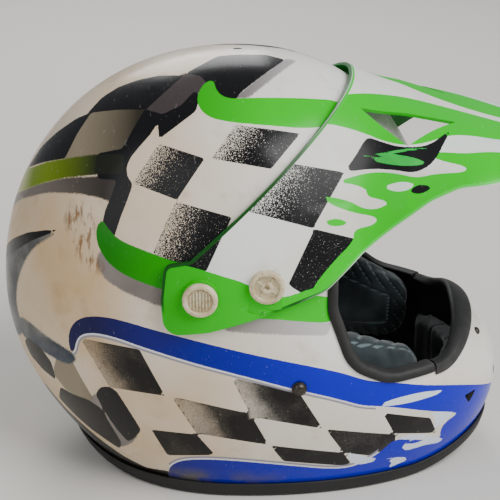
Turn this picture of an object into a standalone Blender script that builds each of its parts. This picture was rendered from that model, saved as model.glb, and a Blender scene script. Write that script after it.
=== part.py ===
"""Off-road motorcycle helmet, modelled in metres with +Z up.

The wearer faces -Y and the wearer's right side is -X. The whole object stands on z = 0 with the middle
of its bounding box over the origin. Every part is parented to the empty helmet_frame, whose own
coordinates are the head coordinates that the sizes below are written in: x across the head, y from
front (negative) to back, z up from the resting plane. Side outlines are lists of (y, z, corner radius).
"""

import math

import bmesh
import bpy
import numpy as np
from mathutils import Matrix, Vector

COLLECTION_NAME = "motocross_helmet"

# Outer form of the shell
HEIGHT = 0.292
WIDEST_Z = 0.125
HALF_WIDTH = 0.122
HALF_WIDTH_BASE = 0.0915
REAR_DEPTH = 0.166
REAR_DEPTH_BASE = 0.1015
BROW_DEPTH = 0.138
CHIN_DEPTH = 0.1877
CHIN_FULL_Z = 0.060
REAR_POWER = 2.1
FRONT_POWER = 2.0
BROW_POWER = 2.3
SHELL_WALL = 0.0045
SHELL_COLUMNS = 44
SHELL_ROWS = 13
FOAM_COLUMNS = 28
FOAM_ROWS = 9

# Bottom edge: flat along both sides, raised at the chin and at the nape
FLAT_FRONT_Y = -0.118
FLAT_REAR_Y = 0.060
CHIN_LIFT = 0.034
NAPE_LIFT = 0.012
TRIM_BELOW_SHELL = 0.0055

GAP = 0.0003
FACET_GAP = 0.0010
ROUND_STEPS = 5
FULL_TURN = 2 * math.pi

# Eye port in side view, measured at the edge of the shell
PORT_OUTLINE = [
    (-0.230, 0.208, 0.0),
    (-0.094, 0.208, 0.026),
    (-0.066, 0.178, 0.030),
    (-0.066, 0.146, 0.030),
    (-0.080, 0.108, 0.030),
    (-0.105, 0.0935, 0.030),
    (-0.146, 0.0930, 0.020),
    (-0.168, 0.1065, 0.030),
    (-0.230, 0.1420, 0.0),
]
RIM_STEPS = 36
NOSE_GUARD_END_Y = -0.136

# Visor
VISOR_CLEARANCE = 0.0035
VISOR_WALL = 0.0025
VISOR_OFFSET = VISOR_CLEARANCE + VISOR_WALL
RIM_CLEARANCE = 0.0015
RIM_TOP_Z = 0.215
VISOR_TIP_Y = -0.252
BLADE_POWER = 2.6
VISOR_ROWS = 16
VISOR_COLUMNS = 23
VISOR_OUTLINE = [
    (-0.078, 0.320, 0.0),
    (-0.078, 0.2780, 0.0),
    (0.0235, 0.1855, 0.004),
    (0.0400, 0.1820, 0.006),
    (0.0425, 0.1600, 0.020),
    (0.0405, 0.1360, 0.010),
    (0.0120, 0.1400, 0.010),
    (-0.0250, 0.1515, 0.010),
    (-0.0620, 0.1640, 0.020),
    (-0.0830, 0.1820, 0.030),
    (-0.1080, 0.2030, 0.040),
    (-0.1280, 0.2180, 0.040),
    (-0.1460, 0.2265, 0.030),
    (-0.1750, 0.2300, 0.030),
    (-0.2150, 0.2210, 0.040),
    (-0.2700, 0.2000, 0.0),
    (-0.2700, 0.3200, 0.0),
]
VENT_CORNERS = [(-0.047, -0.083, 0.266), (-0.069, -0.113, 0.247), (-0.033, -0.146, 0.2515)]
VENT_DIRECTION = (-0.50, -0.12, 0.86)
VENT_CUT_DEPTH = 0.0085

# Fasteners along X, given by their place in side view
PIVOT = (0.017, 0.163)
CLAMP = (-0.025, 0.172)
TILT_UP_DEG = 12.0
HEAD_RADIUS = 0.0113
HEAD_HEIGHT = 0.0036
SHANK_RADIUS = 0.0025
SHANK_LENGTH = 0.0175
HOLE_RADIUS = 0.0030
NUT_FLANGE_RADIUS = 0.0070
NUT_BARREL_RADIUS = 0.0044
BOSS_RADIUS = 0.0121
BOSS_DEPTH = 0.0045
RIVET = (-0.046, 0.096)
RIVET_HEAD_RADIUS = 0.0050
GUARD_SCREW = (-0.1705, 0.0965)
ANCHOR_REACH = 0.0170
TURNED_STEPS = 16

# Padding and foam, as distances in from the outer form
LINER_OUT = 0.0068
LINER_IN = 0.0325
LINING_OUT = 0.0378
LINING_IN = 0.0430
CHEEK_OUT = 0.0165
CHEEK_THICKNESS = 0.0310
CHIN_FOAM_OUT = 0.0166
CHIN_FOAM_THICKNESS = 0.0150
NECK_ROLL_RADIUS = 0.0095
NECK_ROLL_Z = 0.0260
NECK_ROLL_INSET = 0.0175
LINER_OUTLINE = [
    (0.190, 0.050, 0.0),
    (0.190, 0.330, 0.0),
    (-0.170, 0.330, 0.0),
    (-0.170, 0.2165, 0.0),
    (-0.090, 0.2165, 0.024),
    (-0.057, 0.182, 0.024),
    (-0.057, 0.132, 0.004),
    (0.024, 0.132, 0.010),
    (0.032, 0.050, 0.0),
]
LINING_OUTLINE = [
    (0.160, 0.078, 0.0),
    (0.160, 0.290, 0.0),
    (-0.130, 0.290, 0.0),
    (-0.130, 0.2245, 0.0),
    (-0.086, 0.2245, 0.020),
    (-0.049, 0.186, 0.020),
    (-0.049, 0.140, 0.006),
    (0.030, 0.140, 0.010),
    (0.038, 0.078, 0.0),
]
CHEEK_OUTLINE = [
    (-0.127, 0.050, 0.018),
    (0.016, 0.041, 0.020),
    (0.018, 0.122, 0.018),
    (-0.054, 0.122, 0.012),
    (-0.078, 0.116, 0.012),
    (-0.128, 0.097, 0.014),
]
CHIN_FOAM_OUTLINE = [
    (-0.230, 0.0445, 0.0),
    (-0.132, 0.0168, 0.0),
    (-0.132, 0.074, 0.0),
    (-0.148, 0.078, 0.0),
    (-0.230, 0.092, 0.0),
]

# Vents in the chin bar
MOUTH_VENT_Z = 0.064
MOUTH_VENT_WIDTH = 0.038
MOUTH_VENT_HEIGHT = 0.013
GRILLE_MARGIN = 0.004
GRILLE_FRONT_Y = -0.1744
GRILLE_THICKNESS = 0.0018
SIDE_VENT = (-0.165, 0.058)
SIDE_VENT_WIDTH = 0.0135
SIDE_VENT_HEIGHT = 0.0090
SCREEN_RADIUS = 0.0085
SCREEN_INSET = 0.0086
SCREEN_THICKNESS = 0.0010

# Chin strap: 20 mm webbing that swings on a line just below the cheek pads
WEBBING_WIDTH = 0.020
WEBBING_THICKNESS = 0.0015
STRAP_Y = RIVET[0]
SWING_Z = 0.030
RING_WIRE_RADIUS = 0.0015
RING_HALF_WIDTH = 0.0142
RING_DEPTH = 0.017
RING_BAR_X = 0.0500
RING_LOWER_Z = 0.0124
RING_UPPER_Z = 0.0162

REST_ORIGIN_Y = (-VISOR_TIP_Y - REAR_DEPTH) / 2


# ---------------------------------------------------------------- form of the shell


def smooth(x):
    x = np.clip(x, 0, 1)
    return x * x * (3 - 2 * x)


def dome(z, top, power):
    """How far a level's half axis has closed towards the crown: 1 at the widest level, 0 at the top."""
    rise = np.clip((z - WIDEST_Z) / (top - WIDEST_Z), 0, 1)
    return (1 - rise**power) ** (1 / power)


def tuck(z):
    return np.clip((WIDEST_Z - z) / WIDEST_Z, 0, 1) ** 2


def half_width(z, out=0.0):
    above = (HALF_WIDTH + out) * dome(z, HEIGHT + out, REAR_POWER)
    below = HALF_WIDTH + out - (HALF_WIDTH - HALF_WIDTH_BASE) * tuck(z)
    return np.where(z >= WIDEST_Z, above, below)


def rear_depth(z, out=0.0):
    above = (REAR_DEPTH + out) * dome(z, HEIGHT + out, REAR_POWER)
    below = REAR_DEPTH + out - (REAR_DEPTH - REAR_DEPTH_BASE) * tuck(z)
    return np.where(z >= WIDEST_Z, above, below)


def chin_depth(z, out=0.0):
    below = 0.024 * np.clip((CHIN_FULL_Z - z) / CHIN_FULL_Z, 0, 2) ** 2
    above = 0.020 * np.clip((z - CHIN_FULL_Z) / 0.045, 0, 1.9) ** 2
    return CHIN_DEPTH + out - below - above


def front_depth(z, out=0.0):
    brow = np.where(z >= WIDEST_Z, (BROW_DEPTH + out) * dome(z, HEIGHT + out, BROW_POWER), BROW_DEPTH + out)
    share = smooth((0.172 - z) / 0.075)
    return brow * (1 - share) + chin_depth(z, out) * share


def section_point(angle, z, out=0.0):
    """The point of one level at this angle: 0 is +X and a quarter turn is the rear."""
    cosine, sine = math.cos(angle), math.sin(angle)
    power = REAR_POWER if sine >= 0 else FRONT_POWER
    depth = rear_depth(z, out) if sine >= 0 else front_depth(z, out)
    x = half_width(z, out) * math.copysign(abs(cosine) ** (2 / power), cosine)
    y = depth * math.copysign(abs(sine) ** (2 / power), sine)
    return Vector((float(x), float(y), float(z)))


def side_x(y, z, out=0.0):
    """Half width of the form at this place in side view."""
    power = REAR_POWER if y >= 0 else FRONT_POWER
    depth = rear_depth(z, out) if y >= 0 else front_depth(z, out)
    left = max(0.0, 1 - (abs(y) / max(float(depth), 1e-6)) ** power)
    return float(half_width(z, out)) * left ** (1 / power)


def around(y, z, radius, out=0.0):
    """Half widths of the form on a circle in side view around this place."""
    turns = [FULL_TURN * k / 12 for k in range(12)]
    return [side_x(y + radius * math.cos(t), z + radius * math.sin(t), out) for t in turns]


def screw_seat(place):
    """Where the flat face of a visor boss lies, clear of the curved wing all round."""
    return max(around(*place, BOSS_RADIUS, VISOR_OFFSET)) + GAP


def base_edge(y):
    front = CHIN_LIFT * np.clip((FLAT_FRONT_Y - y) / 0.062, 0, 2) ** 2
    rear = NAPE_LIFT * np.clip((y - FLAT_REAR_Y) / 0.045, 0, 1) ** 2
    return float(front + rear)


def outward(point):
    """Unit normal of the form at a point on it."""

    def level(p):
        power = REAR_POWER if p.y >= 0 else FRONT_POWER
        depth = rear_depth(p.z) if p.y >= 0 else front_depth(p.z)
        return (abs(p.x) / float(half_width(p.z))) ** power + (abs(p.y) / float(depth)) ** power

    step = 0.0005
    slope = [level(point + step * axis) - level(point - step * axis) for axis in Matrix.Identity(3)]
    return Vector(slope).normalized()


# ---------------------------------------------------------------- modelling helpers


def clear_scene():
    for obj in list(bpy.data.objects):
        bpy.data.objects.remove(obj, do_unlink=True)


def new_collection(name):
    collection = bpy.data.collections.new(name)
    bpy.context.scene.collection.children.link(collection)
    return collection


def material(name, color, roughness, metallic=0.0):
    made = bpy.data.materials.new(name)
    made.use_nodes = True
    surface = made.node_tree.nodes["Principled BSDF"]
    surface.inputs["Base Color"].default_value = (*color, 1.0)
    surface.inputs["Roughness"].default_value = roughness
    surface.inputs["Metallic"].default_value = metallic
    made.diffuse_color = (*color, 1.0)
    return made


def add_part(name, mesh, finish, parent):
    obj = bpy.data.objects.new(name, mesh)
    parts.objects.link(obj)
    obj.parent = parent
    if finish:
        mesh.materials.append(finish)
    mesh.shade_smooth()
    mesh.set_sharp_from_angle(angle=math.radians(35))
    return obj


def add_cutter(name, mesh, parent):
    obj = bpy.data.objects.new(name, mesh)
    cutters.objects.link(obj)
    obj.parent = parent
    obj.hide_render = True
    obj.display_type = "WIRE"
    return obj


def mesh_of(name, points, faces):
    mesh = bpy.data.meshes.new(name)
    mesh.from_pydata([tuple(p) for p in points], [], faces)
    work = bmesh.new()
    work.from_mesh(mesh)
    bmesh.ops.remove_doubles(work, verts=work.verts, dist=1e-6)
    work.to_mesh(mesh)
    work.free()
    return mesh


def loft(name, rings, ring_closed, ends=None):
    """Skin over rings of equal counts, or of one point where the skin closes. ends is "caps" to close each
    end ring with one face and "loop" to join the last ring to the first."""
    points, starts = [], []
    for ring in rings:
        starts.append(len(points))
        points.extend(ring)
    faces = []
    pairs = list(zip(range(len(rings) - 1), range(1, len(rings))))
    if ends == "loop":
        pairs.append((len(rings) - 1, 0))
    for a, b in pairs:
        count = max(len(rings[a]), len(rings[b]))
        for i in range(count if ring_closed else count - 1):
            j = (i + 1) % count
            corners = []
            for ring, column in ((a, i), (a, j), (b, j), (b, i)):
                index = starts[ring] + (column if len(rings[ring]) > 1 else 0)
                if index not in corners:
                    corners.append(index)
            faces.append(corners)
    if ends == "caps":
        faces.append([starts[0] + i for i in reversed(range(len(rings[0])))])
        faces.append([starts[-1] + i for i in range(len(rings[-1]))])
    return mesh_of(name, points, faces)


def face_out(mesh):
    """Turns the faces of a closed mesh outwards."""
    work = bmesh.new()
    work.from_mesh(mesh)
    bmesh.ops.recalc_face_normals(work, faces=work.faces)
    work.to_mesh(mesh)
    work.free()
    return mesh


def rounded(outline):
    """The outline with an arc of the stated radius in each corner."""
    points = []
    for k, (y, z, radius) in enumerate(outline):
        here = Vector((y, z))
        if radius == 0:
            points.append(here)
            continue
        before = Vector(outline[k - 1][:2]) - here
        after = Vector(outline[(k + 1) % len(outline)][:2]) - here
        half_angle = before.angle(after) / 2
        reach = min(radius / math.tan(half_angle), 0.48 * before.length, 0.48 * after.length)
        radius = reach * math.tan(half_angle)
        centre = here + (before.normalized() + after.normalized()).normalized() * (
            radius / math.sin(half_angle)
        )
        first = here + before.normalized() * reach - centre
        last = here + after.normalized() * reach - centre
        turn = first.angle_signed(last)
        for step in range(ROUND_STEPS + 1):
            share = step / ROUND_STEPS
            swing = Matrix.Rotation(-turn * share, 2)
            points.append(centre + swing @ first)
    return points


def rounded_box(half, tall, radius):
    corners = [(-half, -tall), (half, -tall), (half, tall), (-half, tall)]
    return rounded([(u, v, radius) for u, v in corners])


def extruded(name, outline, low, high):
    """A solid whose cross-section is an outline of (u, v) points, extruded along w from low to high. Its
    own X, Y, Z are u, v, w."""
    curve = bpy.data.curves.new(name, "CURVE")
    curve.dimensions = "2D"
    curve.fill_mode = "BOTH"
    curve.extrude = (high - low) / 2
    spline = curve.splines.new("POLY")
    spline.points.add(len(outline) - 1)
    for point, (u, v) in zip(spline.points, outline):
        point.co = (u, v, 0, 1)
    spline.use_cyclic_u = True
    holder = bpy.data.objects.new(name, curve)
    bpy.context.scene.collection.objects.link(holder)
    graph = bpy.context.evaluated_depsgraph_get()
    mesh = bpy.data.meshes.new_from_object(holder.evaluated_get(graph))
    bpy.data.objects.remove(holder)
    bpy.data.curves.remove(curve)
    mesh.transform(Matrix.Translation((0, 0, (low + high) / 2)))
    work = bmesh.new()
    work.from_mesh(mesh)
    bmesh.ops.remove_doubles(work, verts=work.verts, dist=1e-6)
    work.to_mesh(mesh)
    work.free()
    return face_out(mesh)


SIDE_VIEW = Matrix(((0, 0, 1, 0), (1, 0, 0, 0), (0, 1, 0, 0), (0, 0, 0, 1)))
ACROSS_Y = Matrix(((1, 0, 0, 0), (0, 0, -1, 0), (0, 1, 0, 0), (0, 0, 0, 1)))


def side_prism(name, outline, low, high):
    """An outline in side view, extruded across the head from x = low to x = high."""
    mesh = extruded(name, outline, low, high)
    mesh.transform(SIDE_VIEW)
    return mesh


def cylinder(name, radius, depth, centre, axis, segments=TURNED_STEPS):
    work = bmesh.new()
    turn = Vector((0, 0, 1)).rotation_difference(Vector(axis)).to_matrix().to_4x4()
    bmesh.ops.create_cone(
        work,
        cap_ends=True,
        segments=segments,
        radius1=radius,
        radius2=radius,
        depth=depth,
        matrix=Matrix.Translation(centre) @ turn,
    )
    mesh = bpy.data.meshes.new(name)
    work.to_mesh(mesh)
    work.free()
    return mesh


def boolean(obj, cutter, operation="DIFFERENCE"):
    modifier = obj.modifiers.new(f"{operation.lower()}_{cutter.name}", "BOOLEAN")
    modifier.operation = operation
    modifier.object = cutter
    modifier.solver = "EXACT"


def solidify(obj, thickness):
    modifier = obj.modifiers.new("wall", "SOLIDIFY")
    modifier.thickness = thickness
    modifier.offset = -1
    modifier.use_even_offset = True


def turned(name, profile, finish, place, side, parent):
    """A profile of (radius, height) points, top to bottom, turned about X at this place. side is -1 for a
    part that faces -X and 1 for one that faces +X."""
    mesh = bpy.data.meshes.new(name)
    points = [(radius, 0, height) for radius, height in profile]
    mesh.from_pydata(points, [(i, i + 1) for i in range(len(points) - 1)], [])
    obj = add_part(name, mesh, finish, parent)
    modifier = obj.modifiers.new("turn", "SCREW")
    modifier.angle = FULL_TURN
    modifier.steps = TURNED_STEPS
    modifier.render_steps = TURNED_STEPS
    modifier.use_merge_vertices = True
    modifier.merge_threshold = 0.0001
    obj.location = place
    obj.rotation_euler = (0, side * math.pi / 2, 0)
    return obj


def level_rings(out, bottom, rows, columns):
    """Open rings of the form from its bottom edge to just under the crown, then the crown point."""
    rings = []
    for row in range(rows):
        rise = math.sin(math.pi / 2 * row / rows)
        ring = []
        for column in range(columns):
            angle = FULL_TURN * column / columns
            foot = bottom
            if bottom is None:
                foot = base_edge(section_point(angle, 0.0).y) + TRIM_BELOW_SHELL
            z = foot + (HEIGHT + out - foot) * rise
            ring.append(section_point(angle, z, out))
        rings.append(ring)
    rings.append([Vector((0, 0, HEIGHT + out))])
    return rings


# ---------------------------------------------------------------- shell


def make_cutters(frame):
    found = {}
    port = side_prism("cut_eye_port", rounded(PORT_OUTLINE), -0.2, 0.2)
    found["port"] = add_cutter("cut_eye_port", port, frame)
    for label, (y, z), radius in (
        ("pivot", PIVOT, HOLE_RADIUS),
        ("clamp", CLAMP, HOLE_RADIUS),
        ("rivet", RIVET, HOLE_RADIUS),
    ):
        for side in (-1, 1):
            name = f"cut_{label}_{'left' if side > 0 else 'right'}"
            mesh = cylinder(name, radius, 0.06, (side * 0.118, y, z), (1, 0, 0), 12)
            found[label, side] = add_cutter(name, mesh, frame)
    half = MOUTH_VENT_WIDTH / 2
    tall = MOUTH_VENT_HEIGHT / 2
    corner = tall * 0.9
    mesh = extruded("cut_mouth_vent", rounded_box(half, tall, corner), -0.03, 0.03)
    mesh.transform(Matrix.Translation((0, GRILLE_FRONT_Y + 0.005, MOUTH_VENT_Z)) @ ACROSS_Y)
    found["mouth"] = add_cutter("cut_mouth_vent", mesh, frame)
    for side in (-1, 1):
        name = f"cut_side_vent_{'left' if side > 0 else 'right'}"
        found["side_vent", side] = add_cutter(name, side_vent_prism(name, side), frame)
    return found


def side_vent_place(side):
    y, z = SIDE_VENT
    place = Vector((side * side_x(y, z), y, z))
    return place, outward(place)


def side_vent_prism(name, side):
    """A three-sided opening square to the shell, with its flat edge on top."""
    place, skin = side_vent_place(side)
    up = (Vector((0, 0, 1)) - skin * skin.z).normalized()
    across = up.cross(skin)
    high, low = place + up * (SIDE_VENT_HEIGHT / 2), place - up * (SIDE_VENT_HEIGHT / 2)
    corners = [high + across * (SIDE_VENT_WIDTH / 2), high - across * (SIDE_VENT_WIDTH / 2), low]
    rings = [[c + skin * reach for c in corners] for reach in (-0.008, 0.008)]
    return face_out(loft(name, rings, True, "caps"))


def make_shell(frame, cuts):
    mesh = loft("outer_shell", level_rings(0.0, None, SHELL_ROWS, SHELL_COLUMNS), True)
    shell = add_part("outer_shell", mesh, finishes["white_gloss"], frame)
    solidify(shell, SHELL_WALL)
    boolean(shell, cuts["port"])
    boolean(shell, cuts["mouth"])
    for side in (-1, 1):
        for label in ("pivot", "clamp", "rivet", "side_vent"):
            boolean(shell, cuts[label, side])


# ---------------------------------------------------------------- foam and padding


def banded(name, out, thickness, outline, finish, frame):
    """The part of a layer inside the shell that lies within an outline in side view."""
    mesh = loft(name, level_rings(-out, -0.01, FOAM_ROWS, FOAM_COLUMNS), True)
    layer = add_part(name, mesh, finish, frame)
    solidify(layer, thickness)
    keep = side_prism(f"keep_{name}", rounded(outline), -0.2, 0.2)
    boolean(layer, add_cutter(f"keep_{name}", keep, frame), "INTERSECT")
    return layer


def make_liner(frame, cuts):
    liner = banded("impact_liner", LINER_OUT, LINER_IN - LINER_OUT, LINER_OUTLINE, finishes["foam"], frame)
    for side in (-1, 1):
        for label, (y, z) in (("pivot", PIVOT), ("clamp", CLAMP)):
            name = f"cut_{label}_pocket_{'left' if side > 0 else 'right'}"
            reach = side * (side_x(y, z) - 0.010)
            mesh = cylinder(name, NUT_FLANGE_RADIUS + 0.0012, 0.020, (reach, y, z), (1, 0, 0), 12)
            boolean(liner, add_cutter(name, mesh, frame))
    banded("crown_lining", LINING_OUT, LINING_IN - LINING_OUT, LINING_OUTLINE, finishes["lining"], frame)
    foam = banded(
        "chin_foam", CHIN_FOAM_OUT, CHIN_FOAM_THICKNESS, CHIN_FOAM_OUTLINE, finishes["foam"], frame
    )
    boolean(foam, cuts["mouth"])


def pillow_rings(outline, side):
    """Rings over a pad that follows the shell on its outer face and is crowned on its inner face."""
    middle = sum(outline, Vector((0, 0))) / len(outline)
    flat = [(0.0, 0.0), (0.55, 0.0), (0.95, 0.0)]
    stages = flat + [(1.0, 0.14), (1.0, 0.62), (0.93, 0.86), (0.72, 0.97), (0.0, 1.0)]
    rings = []
    for scale, depth in stages:
        ring = []
        for point in outline if scale else outline[:1]:
            y, z = middle + (point - middle) * scale
            crown = CHEEK_THICKNESS * (1 - 0.35 * smooth((-0.085 - y) / 0.045))
            ring.append(Vector((side * (side_x(y, z, -CHEEK_OUT) - crown * depth), y, z)))
        rings.append(ring)
    return rings


def make_pads(frame):
    outline = rounded(CHEEK_OUTLINE)
    for side in (-1, 1):
        name = f"cheek_pad_{'left' if side > 0 else 'right'}"
        mesh = face_out(loft(name, pillow_rings(outline, side), True))
        add_part(name, mesh, finishes["lining"], frame)
        for label, (y, z) in (("front", (-0.078, 0.066)), ("rear", (-0.002, 0.098))):
            snap = f"cheek_snap_{label}_{'left' if side > 0 else 'right'}"
            seat = side_x(y, z, -CHEEK_OUT) + 2 * FACET_GAP
            profile = [(0, 0.0072), (0.0035, 0.0072), (0.0035, 0.0015), (0.0060, 0.0015), (0.0060, 0), (0, 0)]
            turned(snap, profile, finishes["black_plastic"], (side * seat, y, z), side, frame)
    make_neck_roll(frame)


def make_neck_roll(frame):
    """A padded roll along the nape."""
    curve = bpy.data.curves.new("neck_roll", "CURVE")
    curve.dimensions = "3D"
    curve.bevel_depth = NECK_ROLL_RADIUS
    curve.bevel_resolution = 2
    curve.use_fill_caps = True
    steps = 22
    spline = curve.splines.new("POLY")
    spline.points.add(steps)
    for k in range(steps + 1):
        angle = math.radians(22 + (180 - 44) * k / steps)
        place = section_point(angle, NECK_ROLL_Z, -NECK_ROLL_INSET)
        place.z += 0.8 * base_edge(place.y)
        spline.points[k].co = (*place, 1)
    curve.materials.append(finishes["lining"])
    obj = bpy.data.objects.new("neck_roll", curve)
    parts.objects.link(obj)
    obj.parent = frame


# ---------------------------------------------------------------- trims


def port_rim():
    """Places along the edge of the eye port on the right side, from the middle of the brow to the middle
    of the chin, each with the outline's normal into the opening."""
    outline = rounded(PORT_OUTLINE)
    path = []
    for first, second in zip(outline[:-1], outline[1:]):
        along = second - first
        normal = Vector((along.y, -along.x)).normalized()
        steps = max(2, int(along.length / 0.0004))
        for k in range(steps):
            path.append((first + along * (k / steps), normal))
    on_shell = [(p, n) for p, n in path if side_x(p.x, p.y) > 0]
    places = []
    for (y, z), (ny, nz) in on_shell:
        places.append((Vector((-side_x(y, z), y, z)), Vector((0, ny, nz))))
    first, last = places[0], places[-1]
    places.insert(0, (Vector((0, first[0].y, first[0].z)), first[1]))
    places.append((Vector((0, last[0].y, last[0].z)), last[1]))
    return places


def even_steps(places, count):
    """The same path at equal steps along its length."""
    lengths = [0.0]
    for (a, _), (b, _) in zip(places[:-1], places[1:]):
        lengths.append(lengths[-1] + (b - a).length)
    chosen = []
    for k in range(count + 1):
        target = lengths[-1] * k / count
        i = min(len(places) - 2, max(0, int(np.searchsorted(lengths, target)) - 1))
        share = (target - lengths[i]) / max(lengths[i + 1] - lengths[i], 1e-9)
        place = places[i][0].lerp(places[i + 1][0], share)
        normal = places[i][1].lerp(places[i + 1][1], share).normalized()
        chosen.append((place, normal))
    return chosen


def whole_rim():
    """The rim's frames from the middle of the chin over the brow and back, as (place, into, out, along)."""
    half = even_steps(port_rim(), RIM_STEPS)
    right = half[::-1]
    left = [(Vector((-p.x, p.y, p.z)), n) for p, n in half[1:-1]]
    ring = right + left
    frames = []
    for k, (place, into) in enumerate(ring):
        before = ring[k - 1][0]
        after = ring[(k + 1) % len(ring)][0]
        along = (after - before).normalized()
        skin = outward(place)
        over = skin.cross(along)
        over = over if over.dot(into) > 0 else -over
        through = into.cross(along)
        through = through if through.dot(skin) > 0 else -through
        frames.append((place, into.normalized(), through.normalized(), skin, over.normalized()))
    return frames


def rim_section(frame, lip, web, depth, crest):
    """One cross-section of a rubber edging: a lip over the outside of the shell and a web in the opening."""
    place, into, through, skin, over = frame
    return [
        place - over * lip + skin * FACET_GAP,
        place - over * (lip - 0.0006) + skin * (FACET_GAP + 0.0014),
        place + into * 0.0008 + skin * crest,
        place + into * (web - 0.0010) + skin * (crest - 0.0008),
        place + into * web - through * 0.002,
        place + into * web - through * depth,
        place + into * FACET_GAP - through * depth,
        place + into * FACET_GAP + skin * FACET_GAP,
    ]


def guard_section(frame, swell):
    """One cross-section of the nose guard: a lip on the chin bar and a flap that leans in over it. The
    flap is tallest in the middle, where swell is 1."""
    place, into, through, skin, over = frame
    tall, lean = 0.0040 + 0.0110 * swell, 0.0012 + 0.0045 * swell
    lip = 0.0060 - 0.0042 * swell
    return [
        place - over * lip + skin * FACET_GAP,
        place - over * (lip - 0.0006) + skin * (FACET_GAP + 0.0012),
        place + into * 0.0010 + skin * (0.0024 - 0.0008 * swell),
        place + into * (tall - 0.0010) - through * (lean - 0.0010),
        place + into * tall - through * (lean + 0.0012),
        place + into * (tall - 0.0010) - through * (lean + 0.0034),
        place + into * FACET_GAP - through * 0.0095,
        place + into * FACET_GAP + skin * FACET_GAP,
    ]


def make_trims(frame):
    rim = whole_rim()
    count = len(rim)
    ends = [k for k in range(count) if rim[k][0].y > NOSE_GUARD_END_Y]
    first, last = min(ends), max(ends)
    rings = [rim_section(rim[k], 0.0036, 0.0040, 0.0075, 0.0030) for k in range(first, last + 1)]
    mesh = face_out(loft("eye_port_trim", rings, True, "caps"))
    add_part("eye_port_trim", mesh, finishes["rubber"], frame)
    guard = [rim[k % count] for k in range(last + 1, first + count)]
    rings = []
    for k, place in enumerate(guard):
        swell = math.sin(math.pi * k / (len(guard) - 1)) ** 2
        rings.append(guard_section(place, swell))
    mesh = face_out(loft("nose_guard", rings, True, "caps"))
    add_part("nose_guard", mesh, finishes["rubber"], frame)
    make_base_trim(frame)


def make_base_trim(frame):
    rings = []
    for column in range(SHELL_COLUMNS):
        angle = FULL_TURN * column / SHELL_COLUMNS
        foot = section_point(angle, 0.0)
        z = base_edge(foot.y)
        edge = section_point(angle, z + TRIM_BELOW_SHELL)
        skin = outward(edge)
        flat = Vector((skin.x, skin.y, 0)).normalized()
        top = section_point(angle, z + TRIM_BELOW_SHELL + 0.0055)
        lip = Vector((top.x, top.y, 0))
        body = Vector((edge.x, edge.y, 0))
        rings.append(
            [
                lip + flat * FACET_GAP + Vector((0, 0, top.z)),
                lip + flat * 0.0024 + Vector((0, 0, top.z - 0.0006)),
                body + flat * 0.0026 + Vector((0, 0, z + 0.0012)),
                body + flat * 0.0012 + Vector((0, 0, z)),
                body - flat * 0.0070 + Vector((0, 0, z)),
                body - flat * 0.0070 + Vector((0, 0, z + TRIM_BELOW_SHELL - 0.0005)),
                body + flat * FACET_GAP + Vector((0, 0, z + TRIM_BELOW_SHELL - 0.0005)),
            ]
        )
    mesh = face_out(loft("base_trim", rings, True, "loop"))
    add_part("base_trim", mesh, finishes["rubber"], frame)


# ---------------------------------------------------------------- visor


def visor_arch(y, swing):
    """Half width and height of the visor's outer surface at this y, at an angle from its side to its top."""
    out = VISOR_OFFSET
    depth, power = (REAR_DEPTH, REAR_POWER) if y >= 0 else (BROW_DEPTH, BROW_POWER)
    close = max(0.0, 1 - (abs(y) / (depth + out)) ** power) ** (1 / power)
    crown = WIDEST_Z + (HEIGHT + out - WIDEST_Z) * close
    hug_z = WIDEST_Z + (crown - WIDEST_Z) * math.sin(swing) ** (2 / REAR_POWER)
    hug_x = side_x(y, hug_z - 1e-7, out)
    ahead = -0.077 - y
    blade_top = 0.278 - 0.40 * ahead + 0.7 * ahead**2
    drop = 0.035 + 0.09 * (1 - float(smooth((-y - 0.08) / 0.09)))
    narrow = min(max((-y - 0.09) / 0.11, 0), 1)
    tip = max((-y - 0.20) / 0.05, 0)
    blade_width = 0.099 - 0.006 * narrow - 0.008 * tip**2
    blade_x = blade_width * abs(math.cos(swing)) ** (2 / BLADE_POWER)
    blade_z = blade_top - drop + drop * math.sin(swing) ** (2 / BLADE_POWER)
    share = float(smooth((-0.045 - y) / 0.07))
    height = hug_z * (1 - share) + blade_z * share
    over_rim = side_x(y, height, VISOR_OFFSET + RIM_CLEARANCE * min(1, 5 * share))
    return max(hug_x * (1 - share) + blade_x * share, over_rim * (height < RIM_TOP_Z)), height


def visor_surface():
    """Open arches from behind the pivots to past the tip. The lowest points hang straight down."""
    rings = []
    rear, front = 0.046, VISOR_TIP_Y - 0.006
    for row in range(VISOR_ROWS):
        y = rear + (front - rear) * row / (VISOR_ROWS - 1)
        ring = []
        for column in range(VISOR_COLUMNS):
            swing = math.pi * column / (VISOR_COLUMNS - 1)
            rising = max(0.0, min(swing, math.pi - swing))
            side = 1 if swing < math.pi / 2 else -1
            x, z = visor_arch(y, rising)
            middle = column == (VISOR_COLUMNS - 1) // 2
            ring.append(Vector((0 if middle else side * x, y, z)))
        rings.append(ring)
    return rings


def clamp_arc_outline(width, margin_deg):
    """A band along the arc that the clamp screw stands in while the visor tilts up: the visor rises, so
    the arc runs down from the screw."""
    pivot, clamp = Vector(PIVOT), Vector(CLAMP)
    arm = clamp - pivot
    outer, inner = [], []
    steps = 6
    for k in range(steps + 1):
        swing = math.radians(-margin_deg + (TILT_UP_DEG + 2 * margin_deg) * k / steps)
        turned_arm = Matrix.Rotation(swing, 2) @ arm
        outer.append(pivot + turned_arm * (1 + width / arm.length))
        inner.append(pivot + turned_arm * (1 - width / arm.length))
    return outer + inner[::-1]


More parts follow.
